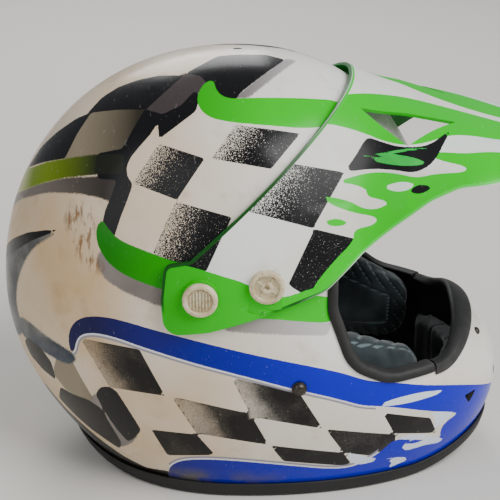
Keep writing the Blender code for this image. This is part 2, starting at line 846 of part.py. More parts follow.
def make_visor(frame, pivot_frame):
    mesh = loft("visor", visor_surface(), False)
    move = Matrix.Translation(-pivot_frame.location)
    mesh.transform(move)
    visor = add_part("visor", mesh, finishes["green_gloss"], pivot_frame)
    solidify(visor, VISOR_WALL)
    keep = side_prism("keep_visor", rounded(VISOR_OUTLINE), -0.2, 0.2)
    boolean(visor, add_cutter("keep_visor", keep, frame), "INTERSECT")
    boolean(visor, add_cutter("keep_visor_plan", plan_prism(), frame), "INTERSECT")
    for side in (-1, 1):
        label = "left" if side > 0 else "right"
        add_bosses(visor, frame, side, label)
        y, z = PIVOT
        hole = cylinder(f"cut_visor_pivot_{label}", HOLE_RADIUS, 0.03, (side * 0.122, y, z), (1, 0, 0), 12)
        boolean(visor, add_cutter(f"cut_visor_pivot_{label}", hole, frame))
        low, high = sorted((side * 0.105, side * 0.14))
        slot_outline = clamp_arc_outline(HOLE_RADIUS + 0.0002, 4.5)
        slot = side_prism(f"cut_visor_slot_{label}", slot_outline, low, high)
        boolean(visor, add_cutter(f"cut_visor_slot_{label}", slot, frame))
        boolean(visor, add_cutter(f"cut_visor_vent_{label}", vent_prism(side), frame))


def add_bosses(visor, frame, side, label):
    """Flat seats for the screw heads: a round one at the pivot and an arc along the clamp slot."""
    y, z = PIVOT
    seat = screw_seat(PIVOT)
    centre = (side * (seat - BOSS_DEPTH / 2), y, z)
    boss = cylinder(f"boss_pivot_{label}", BOSS_RADIUS, BOSS_DEPTH, centre, (1, 0, 0))
    boolean(visor, add_cutter(f"boss_pivot_{label}", boss, frame), "UNION")
    seat = screw_seat(CLAMP)
    low, high = sorted((side * (seat - BOSS_DEPTH), side * seat))
    arc = side_prism(f"boss_clamp_{label}", clamp_arc_outline(0.0085, 9.0), low, high)
    boolean(visor, add_cutter(f"boss_clamp_{label}", arc, frame), "UNION")


def plan_prism():
    """The visor's outline from above: straight sides and a rounded front edge."""
    front, corner, bow = VISOR_TIP_Y, 0.030, 0.016
    outline = rounded(
        [
            (-0.16, 0.10, 0.0),
            (0.16, 0.10, 0.0),
            (0.16, front + 0.10, 0.0),
            (0.084, front + bow, corner),
            (0.030, front, 0.05),
            (-0.030, front, 0.05),
            (-0.084, front + bow, corner),
            (-0.16, front + 0.10, 0.0),
        ]
    )
    return extruded("keep_visor_plan", outline, 0.05, 0.35)


def vent_prism(side):
    """A three-sided opening through the visor, along the direction that faces out of its shoulder."""
    corners = [Vector((-side * x, y, z)) for x, y, z in VENT_CORNERS]
    out = Vector(VENT_DIRECTION).normalized()
    out.x *= -side
    rings = [[c + out * reach for c in corners] for reach in (-VENT_CUT_DEPTH, VENT_CUT_DEPTH)]
    return face_out(loft(f"cut_visor_vent_{side}", rings, True, "caps"))


# ---------------------------------------------------------------- fasteners


def make_fasteners(frame):
    for side in (-1, 1):
        label = "left" if side > 0 else "right"
        for role, (y, z) in (("pivot", PIVOT), ("clamp", CLAMP)):
            seat = screw_seat((y, z)) + GAP
            head = [
                (0, HEAD_HEIGHT - 0.0018),
                (HEAD_RADIUS - 0.0032, HEAD_HEIGHT - 0.0018),
                (HEAD_RADIUS - 0.0028, HEAD_HEIGHT),
                (HEAD_RADIUS - 0.0006, HEAD_HEIGHT),
                (HEAD_RADIUS, HEAD_HEIGHT - 0.0008),
                (HEAD_RADIUS, 0),
                (SHANK_RADIUS, 0),
                (SHANK_RADIUS, -SHANK_LENGTH),
                (0, -SHANK_LENGTH),
            ]
            name = f"visor_{role}_screw_{label}"
            turned(name, head, finishes["cream_plastic"], (side * seat, y, z), side, frame)
            inner = min(around(y, z, NUT_FLANGE_RADIUS)) - SHELL_WALL - FACET_GAP
            bore = SHANK_RADIUS + GAP
            name = f"visor_{role}_nut_{label}"
            nut = ring_mesh(
                name,
                [
                    (bore, 0),
                    (NUT_FLANGE_RADIUS, 0),
                    (NUT_FLANGE_RADIUS, -0.0012),
                    (NUT_BARREL_RADIUS, -0.0012),
                    (NUT_BARREL_RADIUS, -0.0062),
                    (bore, -0.0062),
                ],
            )
            obj = add_part(name, nut, finishes["steel"], frame)
            obj.location = (side * inner, y, z)
            obj.rotation_euler = (0, side * math.pi / 2, 0)
        make_rivet(frame, side, label)
    make_guard_screw(frame)


def ring_mesh(name, profile):
    """A closed profile of (radius, height) points that doesn't touch the axis, turned about Z."""
    rings = []
    for k in range(TURNED_STEPS):
        angle = FULL_TURN * k / TURNED_STEPS
        rings.append([Vector((r * math.cos(angle), r * math.sin(angle), h)) for r, h in profile])
    return face_out(loft(name, rings, True, "loop"))


def make_rivet(frame, side, label):
    y, z = RIVET
    seat = side_x(y, z) + 0.0012
    plate_out = min(around(y, z, ANCHOR_REACH)) - SHELL_WALL - GAP
    plate_in = plate_out - 0.0012
    strap_in = plate_in - 3 * GAP - WEBBING_THICKNESS
    grip = seat - strap_in + GAP
    profile = [
        (0, 0.0036),
        (0.0022, 0.0033),
        (0.0040, 0.0022),
        (RIVET_HEAD_RADIUS, 0.0006),
        (RIVET_HEAD_RADIUS, 0),
        (SHANK_RADIUS, 0),
        (SHANK_RADIUS, -grip),
        (0.0042, -grip),
        (0.0042, -grip - 0.0012),
        (0, -grip - 0.0012),
    ]
    turned(f"strap_rivet_{label}", profile, finishes["dark_steel"], (side * seat, y, z), side, frame)
    low, high = sorted((side * plate_in, side * plate_out))
    outline = rounded(
        [
            (y - 0.011, z - 0.012, 0.004),
            (y + 0.011, z - 0.012, 0.004),
            (y + 0.008, z + 0.011, 0.006),
            (y - 0.008, z + 0.011, 0.006),
        ]
    )
    plate = side_prism(f"strap_anchor_{label}", outline, low, high)
    obj = add_part(f"strap_anchor_{label}", plate, finishes["steel"], frame)
    hole = cylinder(f"cut_anchor_{label}", HOLE_RADIUS, 0.01, (side * plate_in, y, z), (1, 0, 0), 12)
    boolean(obj, add_cutter(f"cut_anchor_{label}", hole, frame))
    make_fixed_webbing(frame, side, label, (plate_in + strap_in) / 2 - GAP)


def make_guard_screw(frame):
    """The small screw on the chin bar, just outside the nose guard's lip."""
    y, z = GUARD_SCREW
    place = Vector((-side_x(y, z), y, z))
    skin = outward(place)
    mesh = ring_mesh("nose_guard_screw", [(0.0006, 0.0), (0.0028, 0.0), (0.0024, 0.0013), (0.0006, 0.0018)])
    obj = add_part("nose_guard_screw", mesh, finishes["dark_steel"], frame)
    obj.location = place + skin * GAP
    obj.rotation_euler = Vector((0, 0, 1)).rotation_difference(skin).to_euler()


# ---------------------------------------------------------------- chin strap


def ribbon(name, centre_line):
    """Webbing whose edge view is this line of (x, z) points, as wide as the webbing along Y."""
    left, right = [], []
    for k, (x, z) in enumerate(centre_line):
        before = Vector(centre_line[max(0, k - 1)])
        after = Vector(centre_line[min(len(centre_line) - 1, k + 1)])
        along = (after - before).normalized()
        across = Vector((-along.y, along.x)) * (WEBBING_THICKNESS / 2)
        left.append(Vector((x, z)) + across)
        right.append(Vector((x, z)) - across)
    mesh = extruded(name, left + right[::-1], -WEBBING_WIDTH / 2, WEBBING_WIDTH / 2)
    mesh.transform(Matrix.Translation((0, STRAP_Y, 0)) @ ACROSS_Y)
    return mesh


def curve_through(points, steps=4):
    """A smooth line through a few (x, z) points."""
    line = []
    last = len(points) - 1
    for k in range(last):
        p0, p1 = Vector(points[max(0, k - 1)]), Vector(points[k])
        p2, p3 = Vector(points[k + 1]), Vector(points[min(last, k + 2)])
        for step in range(steps):
            t = step / steps
            linear = (p2 - p0) * t
            square = (2 * p0 - 5 * p1 + 4 * p2 - p3) * t**2
            cube = (3 * p1 - p0 - 3 * p2 + p3) * t**3
            line.append(tuple(0.5 * (2 * p1 + linear + square + cube)))
    line.append(tuple(points[-1]))
    return line


def make_fixed_webbing(frame, side, label, x_top):
    """The stretch between shell and cheek pad, from the rivet down to the line that the loop swings on."""
    line = curve_through(
        [(x_top, RIVET[1] + 0.010), (x_top, 0.084), (0.1015, 0.058), (0.0930, 0.0410), (0.0790, 0.0318)]
    )
    if side < 0:
        line = [(-x, z) for x, z in line]
    mesh = ribbon(f"strap_root_{label}", line)
    obj = add_part(f"strap_root_{label}", mesh, finishes["webbing"], frame)
    y, z = RIVET
    hole = cylinder(f"cut_strap_root_{label}", HOLE_RADIUS, 0.01, (side * x_top, y, z), (1, 0, 0), 12)
    boolean(obj, add_cutter(f"cut_strap_root_{label}", hole, frame))


def make_chin_strap(swing_frame):
    move = Matrix.Translation(-swing_frame.location)
    short = [(0.0775, 0.0300), (0.0745, 0.0200), (0.0690, 0.0150), (0.0600, 0.0143)]
    short.append((RING_BAR_X + 0.0045, 0.0143))
    mesh = ribbon("strap_short", curve_through(short))
    mesh.transform(move)
    add_part("strap_short", mesh, finishes["webbing"], swing_frame)
    loop_mesh = ring_loop()
    loop_mesh.transform(move)
    add_part("strap_ring_loop", loop_mesh, finishes["webbing"], swing_frame)
    apex = RING_BAR_X - RING_DEPTH
    under = RING_LOWER_Z - RING_WIRE_RADIUS - GAP - WEBBING_THICKNESS / 2 - 0.0002
    over = RING_UPPER_Z + RING_WIRE_RADIUS + GAP + WEBBING_THICKNESS / 2 + 0.0002
    inside = apex + RING_WIRE_RADIUS + 0.0040
    run = [(-0.0775, 0.0300), (-0.0745, 0.0190), (-0.0660, 0.0118), (-0.0500, under), (0.0, under)]
    line = curve_through(run + [(apex - 0.004, under)])
    turn = [
        (apex + 0.0015, under + 0.0003),
        (inside - 0.0006, RING_LOWER_Z - 0.0005),
        (inside, (RING_LOWER_Z + RING_UPPER_Z) / 2),
        (inside - 0.0006, RING_UPPER_Z + 0.0005),
        (apex + 0.0015, over - 0.0002),
        (apex - 0.004, over),
        (apex - 0.014, over - 0.0020),
        (apex - 0.026, under + WEBBING_THICKNESS + 0.0012),
        (apex - 0.040, under + WEBBING_THICKNESS + 0.0006),
        (apex - 0.066, under + WEBBING_THICKNESS + 0.0006),
    ]
    mesh = ribbon("strap_long", line + turn)
    mesh.transform(move)
    add_part("strap_long", mesh, finishes["webbing"], swing_frame)
    for label, z in (("lower", RING_LOWER_Z), ("upper", RING_UPPER_Z)):
        mesh = d_ring(f"d_ring_{label}", z)
        mesh.transform(move)
        add_part(f"d_ring_{label}", mesh, finishes["steel"], swing_frame)
    make_strap_snap(swing_frame, under, apex - 0.056)


def ring_loop():
    """The sewn loop of webbing that holds the straight bars of both rings."""
    middle = (RING_LOWER_Z + RING_UPPER_Z) / 2
    bore = (RING_UPPER_Z - RING_LOWER_Z) / 2 + RING_WIRE_RADIUS + GAP
    outer, inner = [], []
    steps = 16
    for k in range(steps):
        angle = FULL_TURN * k / steps
        wide, tall = bore * 0.72, bore
        outer.append(
            Vector(
                (
                    RING_BAR_X + (wide + WEBBING_THICKNESS) * math.cos(angle),
                    middle + (tall + WEBBING_THICKNESS) * math.sin(angle),
                )
            )
        )
        inner.append(Vector((RING_BAR_X + wide * math.cos(angle), middle + tall * math.sin(angle))))
    rings = []
    half = WEBBING_WIDTH / 2
    for y, loop in ((-half, outer), (half, outer), (half, inner), (-half, inner)):
        rings.append([Vector((p.x, STRAP_Y + y, p.y)) for p in loop])
    return face_out(loft("strap_ring_loop", rings, True, "loop"))


def d_ring(name, z):
    """A D of round wire: a straight bar along Y and a bow towards -X."""
    half = RING_HALF_WIDTH
    bow = [(RING_BAR_X, -half), (RING_BAR_X, half)]
    steps = 12
    for k in range(1, steps):
        angle = math.pi * k / steps
        bow.append(
            (
                RING_BAR_X - RING_DEPTH * math.sin(angle) ** 0.42,
                half * math.copysign(abs(math.cos(angle)) ** 0.6, math.cos(angle)),
            )
        )
    rings = []
    sides = 8
    for k, (x, y) in enumerate(bow):
        before = Vector(bow[k - 1])
        after = Vector(bow[(k + 1) % len(bow)])
        along = ((Vector((x, y)) - before).normalized() + (after - Vector((x, y))).normalized()).normalized()
        across = Vector((-along.y, along.x, 0))
        ring = []
        for s in range(sides):
            angle = FULL_TURN * s / sides
            spoke = across * math.cos(angle) + Vector((0, 0, 1)) * math.sin(angle)
            ring.append(Vector((x, STRAP_Y + y, z)) + spoke * RING_WIRE_RADIUS)
        rings.append(ring)
    return face_out(loft(name, rings, True, "loop"))


def make_strap_snap(swing_frame, under, x):
    """The press stud that keeps the strap's loose end down."""
    top = under + 1.5 * WEBBING_THICKNESS + 0.0006 + 2 * GAP
    profile = [(0.0010, 0.0), (0.0060, 0.0), (0.0060, 0.0010), (0.0048, 0.0022), (0.0010, 0.0026)]
    mesh = ring_mesh("strap_snap", profile)
    obj = add_part("strap_snap", mesh, finishes["black_plastic"], swing_frame)
    obj.location = Vector((x, STRAP_Y, top)) - swing_frame.location


# ---------------------------------------------------------------- chin vents


def make_vents(frame):
    half = MOUTH_VENT_WIDTH / 2 + GRILLE_MARGIN
    tall = MOUTH_VENT_HEIGHT / 2 + GRILLE_MARGIN
    place = Matrix.Translation((0, GRILLE_FRONT_Y, MOUTH_VENT_Z)) @ ACROSS_Y
    plate = extruded("mouth_vent_grille", rounded_box(half, tall, 0.004), -GRILLE_THICKNESS, 0)
    plate.transform(place)
    grille = add_part("mouth_vent_grille", plate, finishes["black_plastic"], frame)
    slot_half, slot_tall = MOUTH_VENT_WIDTH / 2 - 0.004, 0.0011
    for row, z in enumerate((-0.0036, 0.0, 0.0036)):
        corners = [
            (-slot_half, z - slot_tall),
            (slot_half, z - slot_tall),
            (slot_half, z + slot_tall),
            (-slot_half, z + slot_tall),
        ]
        slot = extruded(f"cut_grille_{row}", corners, -0.01, 0.01)
        slot.transform(place)
        boolean(grille, add_cutter(f"cut_grille_{row}", slot, frame))
    for side in (-1, 1):
        label = "left" if side > 0 else "right"
        surface, skin = side_vent_place(side)
        centre = surface - skin * (SCREEN_INSET + SCREEN_THICKNESS / 2)
        mesh = cylinder(f"chin_vent_screen_{label}", SCREEN_RADIUS, SCREEN_THICKNESS, centre, skin, 16)
        add_part(f"chin_vent_screen_{label}", mesh, finishes["black_plastic"], frame)


# ---------------------------------------------------------------- assembly


def new_empty(name, location, parent=None):
    empty = bpy.data.objects.new(name, None)
    parts.objects.link(empty)
    empty.location = location
    empty.parent = parent
    return empty


def main():
    frame = new_empty("helmet_frame", (0, REST_ORIGIN_Y, 0))
    pivot_frame = new_empty("visor_pivot_axis", (0, *PIVOT), frame)
    swing_frame = new_empty("chin_strap_axis", (0, STRAP_Y, SWING_Z), frame)
    cuts = make_cutters(frame)
    make_shell(frame, cuts)
    make_liner(frame, cuts)
    make_pads(frame)
    make_trims(frame)
    make_visor(frame, pivot_frame)
    make_fasteners(frame)
    make_chin_strap(swing_frame)
    make_vents(frame)


clear_scene()
parts = new_collection(COLLECTION_NAME)
cutters = new_collection(f"{COLLECTION_NAME}_cutters")
finishes = {
    "white_gloss": material("white_gloss", (0.80, 0.78, 0.72), 0.25),
    "green_gloss": material("green_gloss", (0.03, 0.62, 0.03), 0.28),
    "cream_plastic": material("cream_plastic", (0.62, 0.56, 0.40), 0.45),
    "black_plastic": material("black_plastic", (0.02, 0.02, 0.02), 0.50),
    "rubber": material("rubber", (0.025, 0.025, 0.027), 0.65),
    "foam": material("foam", (0.07, 0.07, 0.08), 0.90),
    "lining": material("lining", (0.05, 0.09, 0.11), 0.95),
    "webbing": material("webbing", (0.03, 0.03, 0.035), 0.85),
    "steel": material("steel", (0.55, 0.55, 0.56), 0.30, 1.0),
    "dark_steel": material("dark_steel", (0.16, 0.16, 0.15), 0.35, 1.0),
}
main()
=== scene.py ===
"""A motocross helmet: painted shell and peak, rubber edgings, padding, webbing and fittings."""

import math

import bmesh
import bpy
import numpy as np
from mathutils import Matrix, Vector


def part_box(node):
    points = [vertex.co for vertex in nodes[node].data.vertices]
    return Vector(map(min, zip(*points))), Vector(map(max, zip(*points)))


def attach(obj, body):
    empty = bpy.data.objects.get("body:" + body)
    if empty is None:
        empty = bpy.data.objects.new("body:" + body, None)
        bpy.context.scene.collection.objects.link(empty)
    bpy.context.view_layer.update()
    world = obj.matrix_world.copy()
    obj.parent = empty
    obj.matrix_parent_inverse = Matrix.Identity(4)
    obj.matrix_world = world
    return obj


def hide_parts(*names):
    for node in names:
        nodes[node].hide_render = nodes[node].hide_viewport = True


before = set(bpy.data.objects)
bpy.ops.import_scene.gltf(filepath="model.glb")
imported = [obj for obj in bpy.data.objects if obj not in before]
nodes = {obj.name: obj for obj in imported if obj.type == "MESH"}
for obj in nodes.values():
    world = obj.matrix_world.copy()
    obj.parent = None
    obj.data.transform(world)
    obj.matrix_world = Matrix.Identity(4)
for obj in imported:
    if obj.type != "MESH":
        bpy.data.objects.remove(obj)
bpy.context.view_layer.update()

# ---------------------------------------------------------------- sizes, in metres
# Head coordinates put the shell's middle at y = 0; the row's own frame lies SHIFT_Y behind it.

SHIFT_Y = 0.043
HEIGHT = 0.292
WIDEST_Z = 0.125
HALF_WIDTH, HALF_WIDTH_BASE = 0.122, 0.0915
REAR_DEPTH, REAR_DEPTH_BASE = 0.166, 0.1015
BROW_DEPTH, CHIN_DEPTH, CHIN_FULL_Z, CHIN_TUCK, CHIN_SLOPE = 0.138, 0.1877, 0.060, 0.024, 0.020
REAR_POWER, FRONT_POWER, BROW_POWER = 2.1, 2.0, 2.3
SHELL_WALL = 0.0045
FLAT_FRONT_Y, FLAT_REAR_Y, CHIN_LIFT, NAPE_LIFT = -0.118, 0.060, 0.034, 0.012
TRIM_BELOW_SHELL = 0.0055
VISOR_WALL, VISOR_OFFSET, RIM_CLEARANCE, RIM_TOP_Z = 0.0025, 0.0060, 0.0015, 0.215
PIVOT, CLAMP, RIVET = (0.017, 0.163), (-0.025, 0.172), (-0.046, 0.096)
BOSS_RADIUS, BOSS_DEPTH, HOLE_RADIUS, GAP = 0.0121, 0.0045, 0.0030, 0.0003
HEAD_RADIUS, HEAD_HEIGHT, SHANK_RADIUS, SHANK_LENGTH = 0.0113, 0.0036, 0.0025, 0.0175
TILT_UP_DEG = 12.0
SIDE_VENT, SIDE_VENT_WIDTH, SIDE_VENT_HEIGHT = (-0.165, 0.058), 0.0135, 0.0090
MOUTH_VENT_Z, MOUTH_VENT_WIDTH, MOUTH_VENT_HEIGHT = 0.064, 0.038, 0.013
NOSE_GUARD_END_Y = -0.136
GUARD_SCREW = (-0.1705, 0.0965)
SCREEN_RADIUS, SCREEN_INSET, SCREEN_THICKNESS = 0.0085, 0.0086, 0.0010
VISOR_REAR_Y, VISOR_TIP_Y, VISOR_BOW, VISOR_CORNER = 0.046, -0.252, 0.016, 0.030
BLADE_POWER, BLADE_START_Y, BLADE_START_Z, BLADE_HALF_WIDTH = 2.6, -0.077, 0.278, 0.099
STRAP_Y, WEBBING_WIDTH, WEBBING_THICKNESS = -0.046, 0.020, 0.0015
RING_WIRE, RING_HALF_WIDTH, RING_DEPTH, RING_BAR_X = 0.0015, 0.0142, 0.017, 0.0500
RING_LOWER_Z, RING_UPPER_Z, LOOP_FLATNESS = 0.0124, 0.0162, 0.72
NECK_ROLL_RADIUS, NECK_ROLL_Z, NECK_ROLL_INSET, LINING_OUT = 0.0095, 0.026, 0.0175, 0.0378
MM = 0.001
FULL_TURN = 2 * math.pi
SIDES = ((-1, "right"), (1, "left"))

PORT_OUTLINE = [
    (-0.23, 0.208, 0.0), (-0.094, 0.208, 0.026), (-0.066, 0.178, 0.03), (-0.066, 0.146, 0.03),
    (-0.08, 0.108, 0.03), (-0.105, 0.0935, 0.03), (-0.146, 0.093, 0.02), (-0.168, 0.1065, 0.03),
    (-0.23, 0.142, 0.0),
]
VISOR_OUTLINE = [
    (-0.078, 0.32, 0.0), (-0.078, 0.278, 0.0), (0.0235, 0.1855, 0.004), (0.04, 0.182, 0.006),
    (0.0425, 0.16, 0.02), (0.0405, 0.136, 0.01), (0.012, 0.14, 0.01), (-0.025, 0.1515, 0.01),
    (-0.062, 0.164, 0.02), (-0.083, 0.182, 0.03), (-0.108, 0.203, 0.04), (-0.128, 0.218, 0.04),
    (-0.146, 0.2265, 0.03), (-0.175, 0.23, 0.03), (-0.215, 0.221, 0.04), (-0.27, 0.2, 0.0),
    (-0.27, 0.32, 0.0),
]
CHEEK_OUTLINE = [
    (-0.127, 0.05, 0.018), (0.016, 0.041, 0.02), (0.018, 0.122, 0.018), (-0.054, 0.122, 0.012),
    (-0.078, 0.116, 0.012), (-0.128, 0.097, 0.014),
]
CHEEK_OUT, CHEEK_THICKNESS = 0.0165, 0.0310
VENT_CORNERS = [(-0.047, -0.083, 0.266), (-0.069, -0.113, 0.247), (-0.033, -0.146, 0.2515)]
VENT_DIRECTION = (-0.50, -0.12, 0.86)
VENT_CUT_DEPTH = 0.0085

SIDE_VIEW = Matrix(((0, 0, 1, 0), (1, 0, 0, 0), (0, 1, 0, 0), (0, 0, 0, 1)))
ACROSS_Y = Matrix(((1, 0, 0, 0), (0, 0, -1, 0), (0, 1, 0, 0), (0, 0, 0, 1)))

# ---------------------------------------------------------------- the form of the shell


def smooth(x):
    x = np.clip(x, 0, 1)
    return x * x * (3 - 2 * x)


def extent(z, out, widest, base, power=REAR_POWER):
    """How far the form spreads one way at level z: its widest, tucked in to base and domed above."""
    below = widest + out - (widest - base) * np.clip((WIDEST_Z - z) / WIDEST_Z, 0, 1) ** 2
    rise = np.clip((z - WIDEST_Z) / (HEIGHT + out - WIDEST_Z), 0, 1)
    return np.where(z >= WIDEST_Z, (widest + out) * (1 - rise**power) ** (1 / power), below)


def half_width(z, out=0.0):
    return extent(z, out, HALF_WIDTH, HALF_WIDTH_BASE)


def front_depth(z, out=0.0):
    below = CHIN_TUCK * np.clip((CHIN_FULL_Z - z) / CHIN_FULL_Z, 0, 2) ** 2
    above = CHIN_SLOPE * np.clip((z - CHIN_FULL_Z) / 0.045, 0, 1.9) ** 2
    chin = CHIN_DEPTH + out - below - above
    brow = extent(z, out, BROW_DEPTH, BROW_DEPTH, BROW_POWER)
    share = smooth((0.172 - z) / 0.075)
    return brow * (1 - share) + chin * share


def ends(y, z, out):
    """Power and depth of the form's section, at the rear where y is positive and else in front."""
    depth = np.where(y >= 0, extent(z, out, REAR_DEPTH, REAR_DEPTH_BASE), front_depth(z, out))
    return np.where(y >= 0, REAR_POWER, FRONT_POWER), np.maximum(depth, 1e-6)


def section(angle, z, out=0.0):
    """Points of the form at these angles and levels: 0 is +X and a quarter turn is the rear."""
    cosine, sine = np.cos(angle), np.sin(angle)
    power, depth = ends(sine, z, out)
    x = half_width(z, out) * np.sign(cosine) * np.abs(cosine) ** (2 / power)
    y = depth * np.sign(sine) * np.abs(sine) ** (2 / power)
    return np.stack([x, y, z + 0 * x], -1)


def level(points, out=0.0):
    """1 on the form, less inside it."""
    x, y, z = points[..., 0], points[..., 1], points[..., 2]
    power, depth = ends(y, z, out)
    wide = np.maximum(half_width(z, out), 1e-6)
    return (np.abs(x) / wide) ** power + (np.abs(y) / depth) ** power


def side_x(y, z, out=0.0):
    """Half width of the form at this place in side view."""
    power, depth = ends(y, z, out)
    left = np.clip(1 - (np.abs(y) / depth) ** power, 0, 1)
    return half_width(z, out) * left ** (1 / power)


def on_side(side, place):
    """The point of the form at a (y, z) place on one side, and its outward normal."""
    spot = np.array([side * float(side_x(*place)), *place])
    return spot, Vector(outward(spot))


def base_edge(y):
    front = CHIN_LIFT * np.clip((FLAT_FRONT_Y - y) / 0.062, 0, 2) ** 2
    rear = NAPE_LIFT * np.clip((y - FLAT_REAR_Y) / 0.045, 0, 1) ** 2
    return front + rear


def outward(points):
    """Unit normals of the form at points on it."""
    step = 0.0005
    slope = [level(points + step * axis) - level(points - step * axis) for axis in np.eye(3)]
    slope = np.stack(slope, -1)
    return slope / np.linalg.norm(slope, axis=-1, keepdims=True)


# ---------------------------------------------------------------- mesh helpers


def link(name, data):
    obj = bpy.data.objects.new(name, data)
    bpy.context.scene.collection.objects.link(obj)
    return obj


def mesh_from(name, points, faces):
    mesh = bpy.data.meshes.new(name)
    mesh.from_pydata([tuple(p) for p in points], [], faces)
    work = bmesh.new()
    work.from_mesh(mesh)
    bmesh.ops.recalc_face_normals(work, faces=work.faces)
    if sum(f.calc_area() * f.normal.dot(f.calc_center_median()) for f in work.faces) < 0:
        bmesh.ops.reverse_faces(work, faces=work.faces)
    work.to_mesh(mesh)
    work.free()
    return mesh


def freed(work, name):
    """A new mesh out of a bmesh, which is freed."""
    mesh = bpy.data.meshes.new(name)
    work.to_mesh(mesh)
    work.free()
    return mesh


def quads(rows, count, closed, loop=False):
    """Faces of a grid of points. closed joins each row's ends, and loop the last row to the first."""
    faces = []
    for r in range(rows if loop else rows - 1):
        a, b = r * count, (r + 1) % rows * count
        for c in range(count if closed else count - 1):
            d = (c + 1) % count
            faces.append((a + c, a + d, b + d, b + c))
    return faces


def loft(name, rings, closed, finish):
    """A mesh over equal rings of points. closed joins each ring's ends; finish is caps or loop."""
    count = len(rings[0])
    points = [p for ring in rings for p in ring]
    faces = quads(len(rings), count, closed, finish == "loop")
    if finish == "caps":
        faces.append(tuple(range(count)))
        faces.append(tuple((len(rings) - 1) * count + c for c in range(count)))
    return mesh_from(name, points, faces)


def rounded(outline, steps=10):
    """The outline with an arc of the stated radius in each corner."""
    points = []
    for k, (y, z, radius) in enumerate(outline):
        here = Vector((y, z))
        if radius == 0:
            points.append(here)
            continue
        before = Vector(outline[k - 1][:2]) - here
        after = Vector(outline[(k + 1) % len(outline)][:2]) - here
        half = before.angle(after) / 2
        reach = min(radius / math.tan(half), 0.48 * before.length, 0.48 * after.length)
        radius = reach * math.tan(half)
        middle = (before.normalized() + after.normalized()).normalized()
        centre = here + middle * (radius / math.sin(half))
        first = here + before.normalized() * reach - centre
        turn = first.angle_signed(here + after.normalized() * reach - centre)
        for step in range(steps + 1):
            points.append(centre + Matrix.Rotation(-turn * step / steps, 2) @ first)
    return points


def prism(name, outline, low, high, matrix=SIDE_VIEW):
    """A solid whose cross-section is an outline of (u, v) points, from w = low to w = high."""
    rings = [[matrix @ Vector((u, v, w)) for u, v in outline] for w in (low, high)]
    return link(name, loft(name, rings, True, "caps"))


def cylinder(name, radius, depth, centre, axis, segments=48):
    work = bmesh.new()
    turn = Vector((0, 0, 1)).rotation_difference(Vector(axis)).to_matrix().to_4x4()
    place = Matrix.Translation(centre) @ turn
    bmesh.ops.create_cone(
        work, cap_ends=True, segments=segments, radius1=radius, radius2=radius, depth=depth, matrix=place
    )
    return link(name, freed(work, name))


def lathe(name, profile, place, axis, segments=96):
    """A solid turned from (radius, height) points round an axis through place."""
    turn = Vector((0, 0, 1)).rotation_difference(Vector(axis)).to_matrix()
    rings = []
    for k in range(segments):
        angle = FULL_TURN * k / segments
        spoke = Vector((math.cos(angle), math.sin(angle), 0))
        spots = [spoke * max(r, 1e-5) + Vector((0, 0, h)) for r, h in profile]
        rings.append([Vector(place) + turn @ spot for spot in spots])
    return link(name, loft(name, rings, False, "loop"))


def combine(obj, cutter, operation="DIFFERENCE"):
    modifier = obj.modifiers.new(cutter.name, "BOOLEAN")
    modifier.object = cutter
    modifier.operation = operation
    modifier.solver = "EXACT"
    cutter.hide_render = True


def settle(obj):
    """Applies an object's modifiers and removes the tools they used."""
    graph = bpy.context.evaluated_depsgraph_get()
    mesh = bpy.data.meshes.new_from_object(obj.evaluated_get(graph))
    tools = [m.object for m in obj.modifiers if m.type == "BOOLEAN"]
    obj.modifiers.clear()
    obj.data = mesh
    for tool in tools:
        bpy.data.objects.remove(tool)
    return obj


def get_points(mesh, kind="co"):
    """Every vertex's place, or its normal where kind says so."""
    flat = np.empty(len(mesh.vertices) * 3)
    mesh.vertices.foreach_get(kind, flat)
    return flat.reshape(-1, 3)


def set_points(mesh, points):
    mesh.vertices.foreach_set("co", np.asarray(points, np.float32).ravel())
    mesh.update()


def add_field(mesh, name, values):
    field = mesh.attributes.new(name, "FLOAT", "POINT")
    field.data.foreach_set("value", np.asarray(values, np.float32))


def place_piece(obj, body, replaced, materials, angle=40):
    """Moves a piece from head coordinates to the row's frame, finishes it and gives it to its body."""
    obj.data.transform(Matrix.Translation((0, SHIFT_Y, 0)))
    obj.data.materials.clear()
    for item in materials:
        obj.data.materials.append(item)
    obj.data.shade_smooth()
    obj.data.set_sharp_from_angle(angle=math.radians(angle))
    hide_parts(*replaced)
    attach(obj, body)


# ---------------------------------------------------------------- node materials


